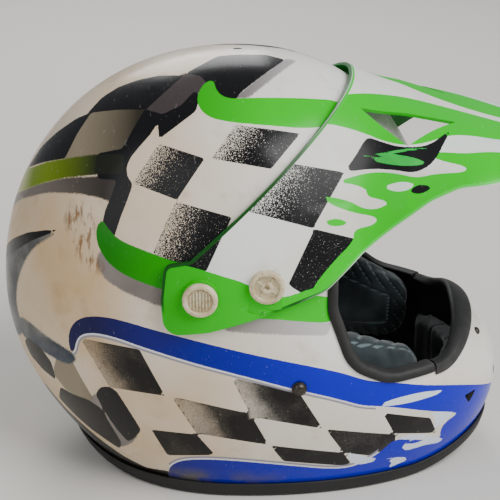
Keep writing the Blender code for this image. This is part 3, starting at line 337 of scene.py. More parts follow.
class Paint:
    """A small builder for one Principled material."""

    def __init__(self, name):
        self.material = bpy.data.materials.new(name)
        self.material.use_nodes = True
        self.tree = self.material.node_tree
        self.shader = self.tree.nodes["Principled BSDF"]

    def node(self, kind, settings=None, **inputs):
        made = self.tree.nodes.new(kind)
        for key, value in (settings or {}).items():
            setattr(made, key, value)
        for key, value in inputs.items():
            socket = made.inputs[int(key[1:])] if key[0] == "i" and key[1:].isdigit() else made.inputs[key]
            self.feed(socket, value)
        return made

    def feed(self, socket, value):
        if isinstance(value, bpy.types.NodeSocket):
            self.tree.links.new(value, socket)
        else:
            socket.default_value = value

    def set(self, **inputs):
        for key, value in inputs.items():
            self.feed(self.shader.inputs[key.replace("_", " ")], value)

    def place(self):
        return self.node("ShaderNodeTexCoord").outputs["Object"]

    def axis(self, index):
        return self.node("ShaderNodeSeparateXYZ", i0=self.place()).outputs[index]

    def field(self, name):
        return self.node("ShaderNodeAttribute", {"attribute_name": name}).outputs["Fac"]

    def math(self, operation, a, b=0.0, clamp=False):
        settings = {"operation": operation, "use_clamp": clamp}
        return self.node("ShaderNodeMath", settings, i0=a, i1=b).outputs[0]

    def times(self, a, b, clamp=False):
        return self.math("MULTIPLY", a, b, clamp)

    def noise(self, scale, detail=2.0, vector=None, rough=0.5):
        inputs = {"Vector": vector or self.place(), "Scale": scale, "Detail": detail, "Roughness": rough}
        return self.node("ShaderNodeTexNoise", **inputs).outputs["Fac"]

    def stretched(self, x, y, z):
        settings = {"operation": "MULTIPLY"}
        return self.node("ShaderNodeVectorMath", settings, i0=self.place(), i1=(x, y, z)).outputs[0]

    def span(self, value, low, high, to_low=0.0, to_high=1.0):
        return self.node("ShaderNodeMapRange", i0=value, i1=low, i2=high, i3=to_low, i4=to_high).outputs[0]

    def mix(self, share, a, b):
        return self.node("ShaderNodeMix", {"data_type": "RGBA"}, i0=share, i6=a, i7=b).outputs[2]

    def wave(self, value, pitch):
        return self.math("SINE", self.times(value, FULL_TURN / pitch))

    def shade(self, value, low, high, a, b):
        """From colour a where the value is low to colour b where it is high."""
        return self.mix(self.span(value, low, high), a, b)

    def bump(self, height, strength, distance):
        return self.node("ShaderNodeBump", Strength=strength, Distance=distance, Height=height).outputs[0]


def rgb(r, g, b):
    """A colour from 0 to 255 values as seen, in linear light."""
    values = [c / 255 for c in (r, g, b)]
    linear = [c / 12.92 if c <= 0.04045 else ((c + 0.055) / 1.055) ** 2.4 for c in values]
    return (*linear, 1.0)


# ---------------------------------------------------------------- the paint scheme
# Every outline is in millimetres on the stencil plane: along the helmet, front negative, and up a
# plane that leans 22.5 degrees to the side, so that crown and flank are both seen square.

STENCIL_TILT = math.radians(22.5)
FAR_OUT = -5.0


def stencil(points):
    """Where points in head coordinates fall on the stencil plane, both sides alike."""
    up = points[:, 2] * math.cos(STENCIL_TILT) - np.abs(points[:, 0]) * math.sin(STENCIL_TILT)
    return np.stack([points[:, 1], up], -1) / MM


def softened(outline, reach=1e3, rounds=3):
    """The outline with its corners cut again and again, by up to reach millimetres at a time."""
    points = np.array(outline, float)
    for _ in range(rounds):
        step = np.roll(points, -1, 0) - points
        share = np.minimum(0.25, reach / np.maximum(np.linalg.norm(step, axis=1), 1e-6))[:, None]
        points = np.stack([points + step * share, points + step * (1 - share)], 1).reshape(-1, 2)
    return points


def depth_inside(places, outline):
    """Distance in millimetres from each place to the outline, positive inside it."""
    outline = np.asarray(outline, float)
    result = np.full(len(places), FAR_OUT)
    low, high = outline.min(0) + FAR_OUT, outline.max(0) - FAR_OUT
    near = np.where(np.all((places > low) & (places < high), 1))[0]
    p = places[near]
    nearest = np.full(len(p), 1e9)
    inside = np.zeros(len(p), bool)
    for a, b in zip(outline, np.roll(outline, -1, 0)):
        edge = b - a
        share = np.clip((p - a) @ edge / max(edge @ edge, 1e-9), 0, 1)
        nearest = np.minimum(nearest, np.hypot(*(p - a - share[:, None] * edge).T))
        crosses = (a[1] > p[:, 1]) != (b[1] > p[:, 1])
        rise = np.where(abs(edge[1]) < 1e-9, 1e-9, edge[1])
        inside ^= crosses & (p[:, 0] < a[0] + (p[:, 1] - a[1]) * edge[0] / rise)
    result[near] = np.maximum(np.where(inside, nearest, -nearest), FAR_OUT)
    return result


def painted(places, outlines, reach=1e3):
    """The deepest inside of several outlines, with corners cut by up to reach."""
    best = np.full(len(places), FAR_OUT)
    for outline in outlines:
        best = np.maximum(best, depth_inside(places, softened(outline, reach)))
    return best


def add_coats(mesh, places, coats):
    """A field for every coat of paint, given as a name, its outlines and how far corners are cut."""
    for name, outlines, *reach in coats:
        add_field(mesh, name, painted(places, outlines, *reach))


def crumbling(places, cells, start=0.35):
    """How far each check has crumbled: 0 up to start of the way from its front edge, 1 at its rear."""
    share = np.zeros(len(places))
    for cell in cells:
        inside = depth_inside(places, cell) > -1.0
        a, b, c, d = (np.array(corner, float) for corner in cell)

        def off(place, first, second):
            edge = (second - first) / np.linalg.norm(second - first)
            return np.abs((place - first) @ np.array([-edge[1], edge[0]]))

        front, rear = off(places, a, d), off(places, b, c)
        along = front / np.maximum(front + rear, 1e-6)
        share = np.where(inside, np.maximum(share, np.clip((along - start) / (1 - start), 0, 1)), share)
    return share


UPPER_CHECKS = [
    [(-44, 208.5), (-3, 213), (12, 191), (-26, 185)],
    [(16, 191), (46, 200.5), (62, 175), (33, 164.5)],
    [(-2, 154), (34, 163.5), (49, 128), (14, 119)],
]
LOWER_CHECKS = [
    [(-46, 41), (-2, 51), (-15, 24), (-62, 15.5)],
    [(-14, 26), (38, 37), (22, 11), (-26, 3.5)],
    [(58, 68), (99, 74), (80, 41), (42, 37)],
    [(-112, 9.5), (-64, 15), (-77, -3), (-112, -9)],
    [(-136, 20.5), (-102, 26), (-111, 10.5), (-142, 8.5)],
    [(-76, -3), (-27, 3), (-36, -9), (-84, -14)],
    [(22, 10), (53, 12), (43, -7), (10, -5)],
]
BLACK_SHAPES = [
    [(-33, 261), (-20, 264.5), (0, 264), (12, 262.5), (20, 257), (32, 249), (22, 247), (16, 240),
     (10, 228), (-4, 226), (-2, 230), (-5, 235)],
    [(33, 247.5), (50, 248), (64, 245.5), (78, 241), (89, 234), (98, 223), (76, 224), (56, 223.5),
     (46, 234)],
    [(21, 233), (23, 222), (34, 213), (46, 203.5), (47.5, 214.5), (52, 206.5), (58, 199.5), (64, 192),
     (66.5, 186), (66, 180), (62, 174), (65, 165), (70, 152), (74, 139.5), (78, 139.5), (82, 149),
     (80, 158), (76, 167), (73, 177), (86, 178), (88, 194.5), (70, 197.5), (64, 210), (57, 224),
     (45, 220), (33, 226), (25, 236)],
    [(95, 223.5), (106, 220), (121, 211.5), (134, 202), (145, 188), (128, 190.5), (111, 192), (104, 208)],
    [(112, 145), (124, 144.5), (138, 143), (152, 139), (164, 133), (164, 124), (150, 130), (136, 137),
     (124, 141)],
    [(60, 11), (67, 24), (75, 38), (80, 41.5), (87, 40.5), (91, 35), (86, 24), (78, 10), (71, 1), (66, 4)],
    [(88, 25), (97, 30.5), (108, 33), (118.5, 37.5), (122, 28), (110, 16), (99, 7), (88, 0), (78, -6),
     (76, 0)],
    [(121, 42), (123, 55), (130, 64), (141, 71), (146, 68), (142, 58), (131, 48)],
    [(43, -20), (60, -19), (76, -12), (90, -3), (104, 8), (120, 22), (134, 38), (140, 30), (100, -10),
     (70, -34), (40, -34)],
]
GREY_SHAPES = [
    [(-41, 261), (-33, 262), (-4, 234), (0, 231), (-10, 231)],
    [(12, 248.5), (30, 249.5), (36, 248), (48, 236), (58, 223), (46, 218), (33, 224), (22, 234),
     (14, 244)],
    [(-66, 88), (-40, 90), (-20, 91), (2, 86), (2, 81.5), (-25, 80), (-64, 79)],
    [(40, 109), (56, 113), (70, 120), (84, 133), (86, 124), (80, 113), (68, 106), (56, 101), (42, 96)],
    [(62, 8), (78, 34), (90, 36), (100, 30), (92, 4), (78, -5), (68, 0)],
    [(70, 181), (90, 179.5), (110, 179), (128, 176), (145, 172), (166, 168), (164, 158), (146, 166),
     (122, 169.5), (100, 168.5), (86, 166), (73, 162), (68, 170)],
]
PANEL_SHAPES = [
    [(55, 225), (97, 225), (104, 211), (114, 191), (90, 192), (68, 196), (62, 210)],
    [(92, 30), (100, 45), (107, 59), (118, 60), (123, 47), (114, 36), (102, 30)],
]
CRESCENT_SHAPES = [
    [(113, 143), (128, 143), (150, 139), (170, 126), (175, 100), (168, 72), (148, 70), (146, 80),
     (150, 92), (149, 105), (144, 118), (136, 130), (126, 137)],
    [(103, 62), (112, 67), (124, 73), (136, 81), (146, 86), (152, 82), (148, 73), (138, 66), (124, 60),
     (112, 55), (104, 56)],
]
OLIVE_SHAPES = [
    [(68, 194), (90, 194), (110, 192), (126, 190.5), (140, 187), (148, 190), (153, 186), (157, 172),
     (148, 171), (128, 176), (110, 179), (90, 180.5), (69, 181)],
]
GREEN_SHAPES = [
    [(-76, 233), (-40, 232.5), (-10, 231.5), (0, 230.5), (7, 232.5), (11, 237), (13, 244), (19, 242),
     (23, 233), (22, 226), (17, 219.5), (8, 216), (-8, 214), (-64, 211)],
    [(-70, 104), (-48, 106), (-8, 104), (0, 124), (30, 124), (46, 129.5), (60, 134.5), (71, 139),
     (78, 146), (82, 152), (86, 147), (86, 139), (83, 131), (76, 122), (64, 115), (50, 110), (30, 104),
     (0, 90), (-28, 90), (-44, 88.5), (-70, 87)],
]
BLUE_BAND = [
    (-200, 41), (-180, 41), (-165, 42.5), (-150, 43.5), (-128, 44.5), (-110, 47), (-95, 48), (-85, 50.5),
    (-75, 54), (-60, 57.5), (-40, 61.5), (-20, 65.5), (0, 70), (30, 77), (45, 80.5), (64, 85.5),
    (78, 88.5), (90, 89), (99, 87), (105, 82), (108, 74), (107, 64), (104, 64), (102, 72), (98, 76.5),
    (88, 78), (74, 75.5), (60, 71), (45, 66.5), (20, 59.5), (0, 54.5), (-20, 49.5), (-40, 44),
    (-60, 39.5), (-75, 35.5), (-88, 31.5), (-98, 31), (-112, 29.5), (-135, 25.5), (-150, 24), (-158, 22),
    (-148, 17), (-144, 10), (-146, 4), (-135, 3), (-112, 7), (-104, -2), (-96, -8), (-84, -14.5),
    (-70, -16), (-40, -12.5), (-10, -9.5), (12, -8.5), (30, -9.5), (39, -13), (44, -19), (44, -30),
    (0, -50), (-100, -50), (-200, -40),
]
BAND_MIDDLE = [(-190, 20), (-100, 30), (-60, 46), (0, 62), (45, 73), (80, 82), (100, 80), (104, 60)]
WHITE_LICKS = [
    [(-146, 40.5), (-130, 40), (-112, 36.5), (-100, 32.5), (-95, 30.5), (-112, 31), (-128, 34),
     (-142, 38)],
    [(-158, 22.5), (-146, 24.5), (-134, 25), (-141, 19), (-138, 12), (-146, 15), (-150, 20)],
    [(-140, 6), (-132, 8.5), (-113, 8.5), (-114, 5.5), (-126, 4.5), (-136, 5)],
    [(-148, 4), (-137, 6), (-129, 1), (-116, 2.5), (-119, -4), (-126, -2.5), (-136, 0), (-146, 0)],
    [(-122, -9), (-112, -8.5), (-104, -10), (-112, -12), (-108, -18), (-116, -14), (-122, -12)],
    [(-103, -9), (-94, -7.5), (-84, -4), (-78, -2.5), (-84, -13), (-92, -12.5), (-98, -11)],
]
SCRATCH_SHAPES = [
    [(76, 118), (88, 116), (104, 132), (112, 158), (96, 168), (84, 150), (90, 132)],
]

VISOR_GREEN = [
    [(-212, 217), (-200, 219.5), (-182, 223), (-160, 228.5), (-140, 233), (-120, 237), (-100, 239),
     (-80, 238), (-60, 233), (-40, 208), (-58, 216), (-75, 213), (-88, 209), (-96, 205.5), (-108, 202.5),
     (-118, 203), (-127, 205), (-142, 211), (-165, 210), (-205, 203)],
    [(-205, 197), (-186, 199), (-165, 199.5), (-150, 197.5), (-132, 198.5), (-126, 196.5), (-133, 192.5),
     (-150, 189), (-149, 185), (-130, 184), (-118, 181), (-108, 183.5), (-95, 185), (-82, 183),
     (-66, 177), (-78, 177), (-88, 173), (-86, 169), (-102, 166), (-96, 161.5), (-86, 160.5), (-76, 166),
     (-58, 169), (-64, 163), (-78, 158.5), (-95, 156), (-92, 151), (-84, 149), (-79, 147), (-79, 140),
     (-66, 127), (-50, 106), (-60, 98), (-110, 130), (-150, 160), (-205, 170)],
    [(-56, 111), (-46, 107.5), (-36, 104), (-26, 105), (-16, 110), (-8, 114), (4, 117), (15, 120.5),
     (34, 125), (50, 112), (50, 76), (28, 76), (-10, 82), (-64, 92)],
    [(-77, 151.5), (-68, 155), (-59, 152), (-66, 149)],
]
VISOR_CHECKS = [
    [(-72.5, 184), (-34, 189), (-9, 158.5), (-53, 148)],
    [(-82, 141.5), (-54, 147.5), (-38, 112), (-50, 105)],
    [(-3, 156), (4, 152), (35, 122), (13.5, 119.5)],
]
VISOR_BLACK = [
    [(-142, 214), (-136, 210), (-130, 205), (-122, 201.5), (-108, 201), (-96, 204.5), (-88, 207.5),
     (-85, 205), (-79, 194), (-72, 184), (-90, 187), (-106, 186), (-116, 184), (-126, 188.5),
     (-132, 196), (-136, 204)],
    [(-129, 175.5), (-119, 177.5), (-113, 172), (-121, 170.5)],
]
VISOR_STROKES = [
    [(-126, 191), (-113, 195.5), (-101, 196), (-88, 192.5), (-101, 189.5), (-116, 188.5)],
    [(-130, 201), (-112, 200.5), (-96, 197), (-80, 194.5), (-96, 195), (-112, 198.5)],
]
VISOR_WHITE = [
    [(-118, 177.5), (-108, 179), (-97, 175.5), (-104, 172), (-113, 173)],
    [(-206, 206), (-165, 209.5), (-146, 210), (-138, 207), (-134, 200), (-150, 199.5), (-206, 200)],
]

SHELL_COATS = (
    ("upper", UPPER_CHECKS, 0.3), ("lower", LOWER_CHECKS, 0.3), ("black", BLACK_SHAPES, 1.0),
    ("grey", GREY_SHAPES, 1.5), ("panel", PANEL_SHAPES, 0.8), ("crescent", CRESCENT_SHAPES),
    ("olive", OLIVE_SHAPES, 2.0), ("green", GREEN_SHAPES), ("blue", [BLUE_BAND]),
    ("lick", WHITE_LICKS), ("scratch", SCRATCH_SHAPES),
)
VISOR_COATS = (
    ("green", VISOR_GREEN), ("black", VISOR_BLACK), ("checks", VISOR_CHECKS, 0.3),
    ("stroke", VISOR_STROKES), ("white", VISOR_WHITE),
)

WHITE, CREAM, TAN = rgb(240, 240, 235), rgb(206, 168, 112), rgb(150, 112, 66)
BLACK = rgb(17, 17, 19)
GREEN, GREEN_DEEP = rgb(14, 200, 0), rgb(16, 120, 0)
VISOR_BRIGHT = rgb(0, 196, 0)
BLUE, NAVY = rgb(0, 12, 190), rgb(2, 3, 70)


def paint_body(paint, warm):
    """Base coat: white in front, creamier towards the rear and low down, and stained in patches."""
    blotch = paint.noise(14, 3)
    cream = paint.shade(blotch, 0.35, 0.7, WHITE, CREAM)
    base = paint.mix(paint.times(warm, 0.85, True), WHITE, cream)
    base = paint.mix(paint.times(warm, 0.55, True), base, CREAM)
    grime = paint.span(paint.noise(60, 5), 0.58, 0.78)
    return paint.mix(paint.times(grime, 0.30), base, TAN)


def layer(paint, color, below, name, edge=0.10, ragged=0.10):
    """One coat of paint over what lies below it, where the named field is positive."""
    wobble = paint.span(paint.noise(900, 1), 0.3, 0.7, -ragged, ragged)
    depth = paint.math("ADD", paint.field(name), wobble)
    return paint.mix(paint.span(depth, -edge, edge), below, color)


def speckled(paint, name, crumble):
    """Where a check is black: solid in front, breaking into grains towards the crumbled edge."""
    inside = paint.span(paint.field(name), -0.12, 0.12)
    grain = paint.span(paint.noise(1250, 2, None, 0.75), 0.30, 0.70)
    bare = paint.times(paint.field(crumble), 0.54)
    solid = paint.span(paint.math("SUBTRACT", grain, bare), 0.0, 0.08)
    return paint.times(inside, solid)


def smoked(paint, name, crumble):
    """Where a check is black: solid in front, thinning to a brown haze towards the crumbled edge."""
    haze = paint.math("ADD", paint.field(crumble), paint.span(paint.noise(45, 4), 0.2, 0.8, -0.3, 0.3))
    fine = paint.span(paint.noise(900, 2), 0.3, 0.7, 0.0, 0.3)
    cover = paint.span(haze, 0.35, 1.1, 1.0, 0.5)
    solid = paint.math("SUBTRACT", cover, paint.times(haze, fine), True)
    return paint.times(paint.span(paint.field(name), -0.12, 0.12), solid)


def finish_coat(paint, color, rough_low=0.16, rough_high=0.34):
    """Clear gloss with handling marks: fine scratches and dull patches."""
    fine = paint.noise(1, 4, paint.stretched(60, 420, 240), 0.65)
    scratch = paint.span(fine, 0.66, 0.70)
    color = paint.mix(paint.times(scratch, 0.16), color, rgb(205, 200, 190))
    dull = paint.noise(22, 4)
    polish = paint.span(dull, 0.3, 0.7, rough_low, rough_high)
    rough = paint.math("ADD", polish, paint.times(scratch, 0.2))
    ripple = paint.noise(140, 2)
    paint.set(Base_Color=color, Roughness=rough, Coat_Weight=0.1, Coat_Roughness=0.2, Specular_IOR_Level=0.2)
    paint.set(Normal=paint.bump(ripple, 0.05, 0.001))


def shell_paint():
    paint = Paint("helmet_paint")
    along, height = paint.axis(1), paint.axis(2)
    rearward, low_down = paint.span(along, -0.02, 0.15, 0.05, 1.0), paint.span(height, 0.03, 0.15, 0.30, 0.0)
    warm = paint.math("ADD", rearward, low_down, True)
    color = paint_body(paint, warm)
    smoke = paint.mix(paint.noise(35, 3), rgb(150, 142, 136), rgb(104, 96, 92))
    rear = paint.shade(along, 0.125, 0.175, rgb(52, 48, 42), rgb(120, 110, 104))
    upper = paint.shade(height, 0.215, 0.245, rear, rgb(66, 58, 58))
    smoke = paint.mix(paint.math("GREATER_THAN", height, 0.196), smoke, upper)
    fore = paint.span(along, -0.02, 0.06)
    color = layer(paint, paint.mix(fore, rgb(196, 192, 190), smoke), color, "grey", 0.6, 0.5)
    panel = paint.shade(along, 0.104, 0.145, rgb(46, 42, 34), rgb(142, 130, 108))
    color = layer(paint, panel, color, "panel", 0.3)
    crescent = paint.shade(paint.noise(30, 4), 0.38, 0.62, rgb(34, 42, 50), rgb(120, 118, 112))
    crescent = paint.shade(height, 0.118, 0.088, crescent, rgb(30, 52, 78))
    color = layer(paint, crescent, color, "crescent", 0.8, 0.4)
    scuffed = paint.mix(paint.noise(40, 4), rgb(20, 17, 14), rgb(58, 50, 42))
    dark = paint.shade(paint.math("ADD", along, paint.times(height, -0.6)), 0.06, 0.15, BLACK, scuffed)
    color = layer(paint, dark, color, "black", 0.12)
    color = paint.mix(speckled(paint, "upper", "crumble"), color, BLACK)
    color = paint.mix(smoked(paint, "lower", "crumble"), color, rgb(22, 19, 17))
    olive = paint.shade(along, 0.130, 0.168, rgb(30, 32, 24), rgb(112, 138, 0))
    # Towards the band's rear end the olive turns pale yellow-white: a painted highlight.
    olive = paint.shade(along, 0.180, 0.196, olive, rgb(206, 204, 150))
    color = layer(paint, olive, color, "olive", 0.5, 0.4)
    green = paint.shade(along, 0.02, 0.12, GREEN, GREEN_DEEP)
    color = layer(paint, green, color, "green")
    blue = paint.shade(along, -0.02, 0.13, BLUE, NAVY)
    # Near the bottom edge, where the shell tucks under, the blue dims to grey towards the rear in patches:
    # painted shade.
    blue_low_shade = paint.shade(along, -0.02, 0.07, blue, rgb(84, 82, 84))
    low = paint.times(paint.span(height, 0.026, 0.016), paint.span(paint.noise(50, 3), 0.35, 0.6))
    blue = paint.mix(low, blue, blue_low_shade)
    pin = paint.shade(paint.field("blue"), -1.5, -0.9, rgb(140, 138, 150), rgb(226, 226, 232))
    below = paint.math("GREATER_THAN", paint.field("under"), 0.0)
    pin_share = paint.times(paint.span(paint.field("blue"), -2.9, -2.1), below)
    color = paint.mix(pin_share, color, pin)
    color = layer(paint, blue, color, "blue")
    color = layer(paint, rgb(222, 232, 246), color, "lick")
    streak = paint.noise(1, 4, paint.stretched(140, 260, 60), 0.7)
    rust = paint.times(paint.span(streak, 0.48, 0.58), paint.span(paint.field("scratch"), -2.0, 4.0))
    color = paint.mix(paint.times(rust, 0.8), color, rgb(122, 84, 44))
    chips = paint.span(paint.noise(190, 4, None, 0.75), 0.71, 0.73)
    chips = paint.times(chips, paint.span(along, 0.05, 0.15))
    color = paint.mix(paint.times(chips, 0.75), color, rgb(120, 104, 84))
    finish_coat(paint, color)
    return paint.material


def visor_paint():
    paint = Paint("visor_paint")
    along, height = paint.axis(1), paint.axis(2)
    color = paint.shade(paint.noise(16, 3), 0.4, 0.7, WHITE, rgb(222, 220, 208))
    color = paint.mix(speckled(paint, "checks", "crumble"), color, BLACK)
    green = paint.shade(paint.noise(9, 2), 0.35, 0.65, VISOR_BRIGHT, rgb(6, 204, 0))
    green = paint.shade(along, 0.03, 0.09, green, rgb(10, 170, 0))
    color = layer(paint, green, color, "green")
    color = layer(paint, BLACK, color, "black")
    flame = paint.mix(paint.noise(70, 2), rgb(8, 150, 50), rgb(40, 210, 80))
    color = layer(paint, flame, color, "stroke")
    color = layer(paint, rgb(226, 238, 228), color, "white")
    front = paint.span(along, 0.0, -0.04)
    edge = paint.field("edge")
    # A dark green line along the visor's rear edge, above its lower corner: painted shade.
    dark = paint.times(paint.span(edge, 1.9, 1.6), paint.span(height, 0.150, 0.158))
    rear_edge_shade = paint.mix(dark, color, rgb(14, 74, 16))
    on_edge = paint.math("GREATER_THAN", edge, 0.01)
    low_line = paint.mix(paint.times(paint.span(edge, 2.2, 2.0), on_edge), color, rgb(60, 216, 60))
    paler = paint.times(paint.span(edge, 0.7, 0.5), on_edge)
    low_line = paint.mix(paler, low_line, rgb(200, 214, 196))
    color = paint.mix(front, rear_edge_shade, low_line)
    finish_coat(paint, color, 0.30, 0.44)
    return paint.material


def plain_paint(name, base, other, scale, rough, bump=0.1, distance=0.0006, **more):
    """A two-tone moulded or coated surface with fine relief."""
    paint = Paint(name)
    grain = paint.noise(scale, 4, None, 0.6)
    paint.set(Base_Color=paint.shade(grain, 0.3, 0.7, base, other))
    paint.set(Roughness=paint.span(paint.noise(scale * 0.4, 3), 0.3, 0.7, rough - 0.08, rough + 0.08))
    paint.set(Normal=paint.bump(grain, bump, distance), **more)
    return paint.material


def metal_paint(name, base, other, scale=500, rough=0.35, bump=0.15):
    return plain_paint(name, base, other, scale, rough, bump, 0.0002, Metallic=1.0)


def rubber_paint(name):
    """Moulded rubber: matt, grainy, and paler on its marked crests: a painted highlight, mixed with wear."""
    paint = Paint(name)
    grain = paint.noise(1100, 3)
    highlight_and_wear = paint.times(paint.field("highlight_ridge"), paint.span(paint.noise(90, 4), 0.3, 0.65, 0.35, 1.0))
    color = paint.mix(paint.noise(60, 3), rgb(9, 9, 10), rgb(20, 19, 19))
    color = paint.mix(paint.times(highlight_and_wear, 0.35), color, rgb(92, 91, 90))
    paint.set(Base_Color=color, Roughness=paint.span(grain, 0.3, 0.7, 0.5, 0.68))
    paint.set(Normal=paint.bump(grain, 0.25, 0.0003), Specular_IOR_Level=0.45)
    return paint.material


def cream_paint(name):
    """Aged nylon, a little translucent, with patches of dirt."""
    paint = Paint(name)
    tone = paint.noise(180, 3)
    color = paint.shade(tone, 0.3, 0.7, rgb(226, 216, 186), rgb(196, 178, 138))
    dirt = paint.span(paint.noise(420, 4), 0.52, 0.68)
    color = paint.mix(paint.times(dirt, 0.45), color, rgb(120, 98, 62))
    paint.set(Base_Color=color, Roughness=paint.span(tone, 0.3, 0.7, 0.28, 0.45))
    paint.set(Subsurface_Weight=0.12, Subsurface_Scale=0.004)
    paint.set(Normal=paint.bump(paint.noise(800, 2), 0.1, 0.0002))
    return paint.material


def cloth_paint(name, base, other, pitch=0.0009, seam=None):
    """Knitted cloth: a fine raised weave, soft sheen, faded patches and, where a seam field runs, thread."""
    paint = Paint(name)
    x, y, z = (paint.axis(i) for i in range(3))
    aslant = paint.math("ADD", paint.math("SUBTRACT", y, z), x)
    weave = paint.times(paint.wave(paint.math("ADD", y, z), pitch), paint.wave(aslant, pitch))
    color = paint.shade(weave, -0.8, 0.8, base, other)
    fade = paint.span(paint.noise(45, 3), 0.4, 0.7)
    color = paint.mix(paint.times(fade, 0.3), color, rgb(96, 108, 112))
    if seam:
        dash = paint.wave(z, 0.003)
        along_seam = paint.span(paint.field(seam), 0.55, 0.8)
        thread = paint.times(along_seam, paint.span(dash, -0.6, -0.2))
        color = paint.mix(thread, color, rgb(104, 120, 124))
    paint.set(Base_Color=color, Roughness=0.9, Sheen_Weight=0.5, Sheen_Roughness=0.45)
    paint.set(Normal=paint.bump(weave, 0.4, 0.0002))
    return paint.material


def webbing_paint(name):
    """Woven nylon webbing, with ribs across."""
    paint = Paint(name)
    weave = paint.times(paint.wave(paint.axis(1), 0.0016), paint.wave(paint.axis(0), 0.0011))
    color = paint.shade(weave, -0.7, 0.7, rgb(20, 20, 22), rgb(52, 52, 55))
    paint.set(Base_Color=color, Roughness=0.75, Sheen_Weight=0.3, Normal=paint.bump(weave, 0.5, 0.0003))
    return paint.material


def foam_paint(name, base, other):
    """Expanded beads pressed together."""
    paint = Paint(name)
    cells = paint.node("ShaderNodeTexVoronoi", Vector=paint.place(), Scale=320.0).outputs["Distance"]
    color = paint.shade(cells, 0.2, 0.6, other, base)
    paint.set(Base_Color=color, Roughness=0.85, Normal=paint.bump(cells, 0.5, 0.0005))
    return paint.material


# ---------------------------------------------------------------- outer shell


def make_shell(columns=400, rows_out=150, rows_in=36):
    angle = FULL_TURN * np.arange(columns) / columns
    foot = base_edge(section(angle, np.zeros(columns))[:, 1]) + TRIM_BELOW_SHELL
    rings = []
    for row in range(1, rows_in):
        rise = math.sin(math.pi / 2 * (1 - row / rows_in))
        rings.append(section(angle, foot + (HEIGHT - SHELL_WALL - foot) * rise, -SHELL_WALL))
    rings.append(section(angle, foot, -SHELL_WALL))
    for row in range(rows_out):
        rise = math.sin(math.pi / 2 * row / rows_out)
        rings.append(section(angle, foot + (HEIGHT - foot) * rise))
    points = np.concatenate([*rings, [[0, 0, HEIGHT - SHELL_WALL], [0, 0, HEIGHT]]])
    faces = quads(len(rings), columns, True)
    last = (len(rings) - 1) * columns
    for c in range(columns):
        d = (c + 1) % columns
        faces.append((c, d, len(points) - 2))
        faces.append((last + c, last + d, len(points) - 1))
    shell = link("helmet_shell", mesh_from("helmet_shell", points, faces))
    combine(shell, prism("tool_port", rounded(PORT_OUTLINE), -0.2, 0.2))
    half, tall, corner = MOUTH_VENT_WIDTH / 2, MOUTH_VENT_HEIGHT / 2, 0.005
    mouth = [(-half, -tall, corner), (half, -tall, corner), (half, tall, corner), (-half, tall, corner)]
    place = Matrix.Translation((0, -0.18, MOUTH_VENT_Z)) @ ACROSS_Y
    combine(shell, prism("tool_mouth", rounded(mouth), -0.03, 0.03, place))
    for side in (-1, 1):
        for name, (y, z) in (("pivot", PIVOT), ("clamp", CLAMP), ("rivet", RIVET)):
            hole = cylinder(f"tool_{name}_{side}", HOLE_RADIUS, 0.04, (side * 0.115, y, z), (1, 0, 0), 32)
            combine(shell, hole)
        spot, skin = on_side(side, SIDE_VENT)
        up = (Vector((0, 0, 1)) - skin * skin.z).normalized()
        across = up.cross(skin)
        half, tall = SIDE_VENT_WIDTH / 2, SIDE_VENT_HEIGHT / 2
        outline = rounded([(half, tall, 0.001), (-half, tall, 0.001), (0, -tall, 0.0015)])
        turn = Matrix((across, up, across.cross(up))).transposed().to_4x4()
        combine(shell, prism(f"tool_vent_{side}", outline, -0.03, 0.03, Matrix.Translation(spot) @ turn))
    settle(shell)
    points = get_points(shell.data)
    places = stencil(points)
    outer = level(points) > 0.985
    add_coats(shell.data, places, SHELL_COATS)
    add_field(shell.data, "crumble", crumbling(places, UPPER_CHECKS + LOWER_CHECKS[:3]))
    along, up = places.T
    middle = np.interp(along, *np.array(BAND_MIDDLE).T)
    reaches = (up < middle) & (up > -8) & (along < 106) & (along > -96)
    add_field(shell.data, "under", reaches | ((up < 0) & (up > -20) & (along > -100) & (along < 42)))
    lining = plain_paint("shell_inside", rgb(38, 38, 40), rgb(60, 58, 55), 240, 0.7)
    place_piece(shell, "helmet", ["outer_shell"], [shell_paint(), lining])
    for polygon in shell.data.polygons:
        polygon.material_index = 0 if outer[list(polygon.vertices)].all() else 1


# ---------------------------------------------------------------- visor


def visor_arch(y, swing):
    """Half width and height of the visor's outer surface, at an angle from its side to its top.

    It hugs the shell at the rear and turns, over the brow, into a blade that runs ahead and down.
    """
    out = VISOR_OFFSET
    depth = np.where(y >= 0, REAR_DEPTH, BROW_DEPTH) + out
    power = np.where(y >= 0, REAR_POWER, BROW_POWER)
    close = np.clip(1 - (np.abs(y) / depth) ** power, 0, 1) ** (1 / power)
    crown = WIDEST_Z + (HEIGHT + out - WIDEST_Z) * close
    sine, cosine = np.clip(np.sin(swing), 0, 1), np.abs(np.cos(swing))
    hug_z = WIDEST_Z + (crown - WIDEST_Z) * sine ** (2 / REAR_POWER)
    hug_x = side_x(y, hug_z - 1e-7, out)
    ahead = BLADE_START_Y - y
    blade_top = BLADE_START_Z - 0.40 * ahead + 0.7 * ahead**2
    drop = 0.035 + 0.09 * (1 - smooth((-y - 0.08) / 0.09))
    narrow = np.clip((-y - 0.09) / 0.11, 0, 1)
    tip = np.maximum((-y - 0.20) / 0.05, 0)
    blade_x = (BLADE_HALF_WIDTH - 0.006 * narrow - 0.008 * tip**2) * cosine ** (2 / BLADE_POWER)
    blade_z = blade_top - drop + drop * sine ** (2 / BLADE_POWER)
    share = smooth((-0.045 - y) / 0.07)
    height = hug_z * (1 - share) + blade_z * share
    over_rim = side_x(y, height, out + RIM_CLEARANCE * np.minimum(1, 5 * share))
    return np.maximum(hug_x * (1 - share) + blade_x * share, over_rim * (height < RIM_TOP_Z)), height


def screw_seat(place):
    """How far out a screw's seat stands, to clear the form all round it."""
    turns = FULL_TURN * np.arange(12) / 12
    y = place[0] + BOSS_RADIUS * np.cos(turns)
    z = place[1] + BOSS_RADIUS * np.sin(turns)
    return float(side_x(y, z, VISOR_OFFSET).max()) + GAP


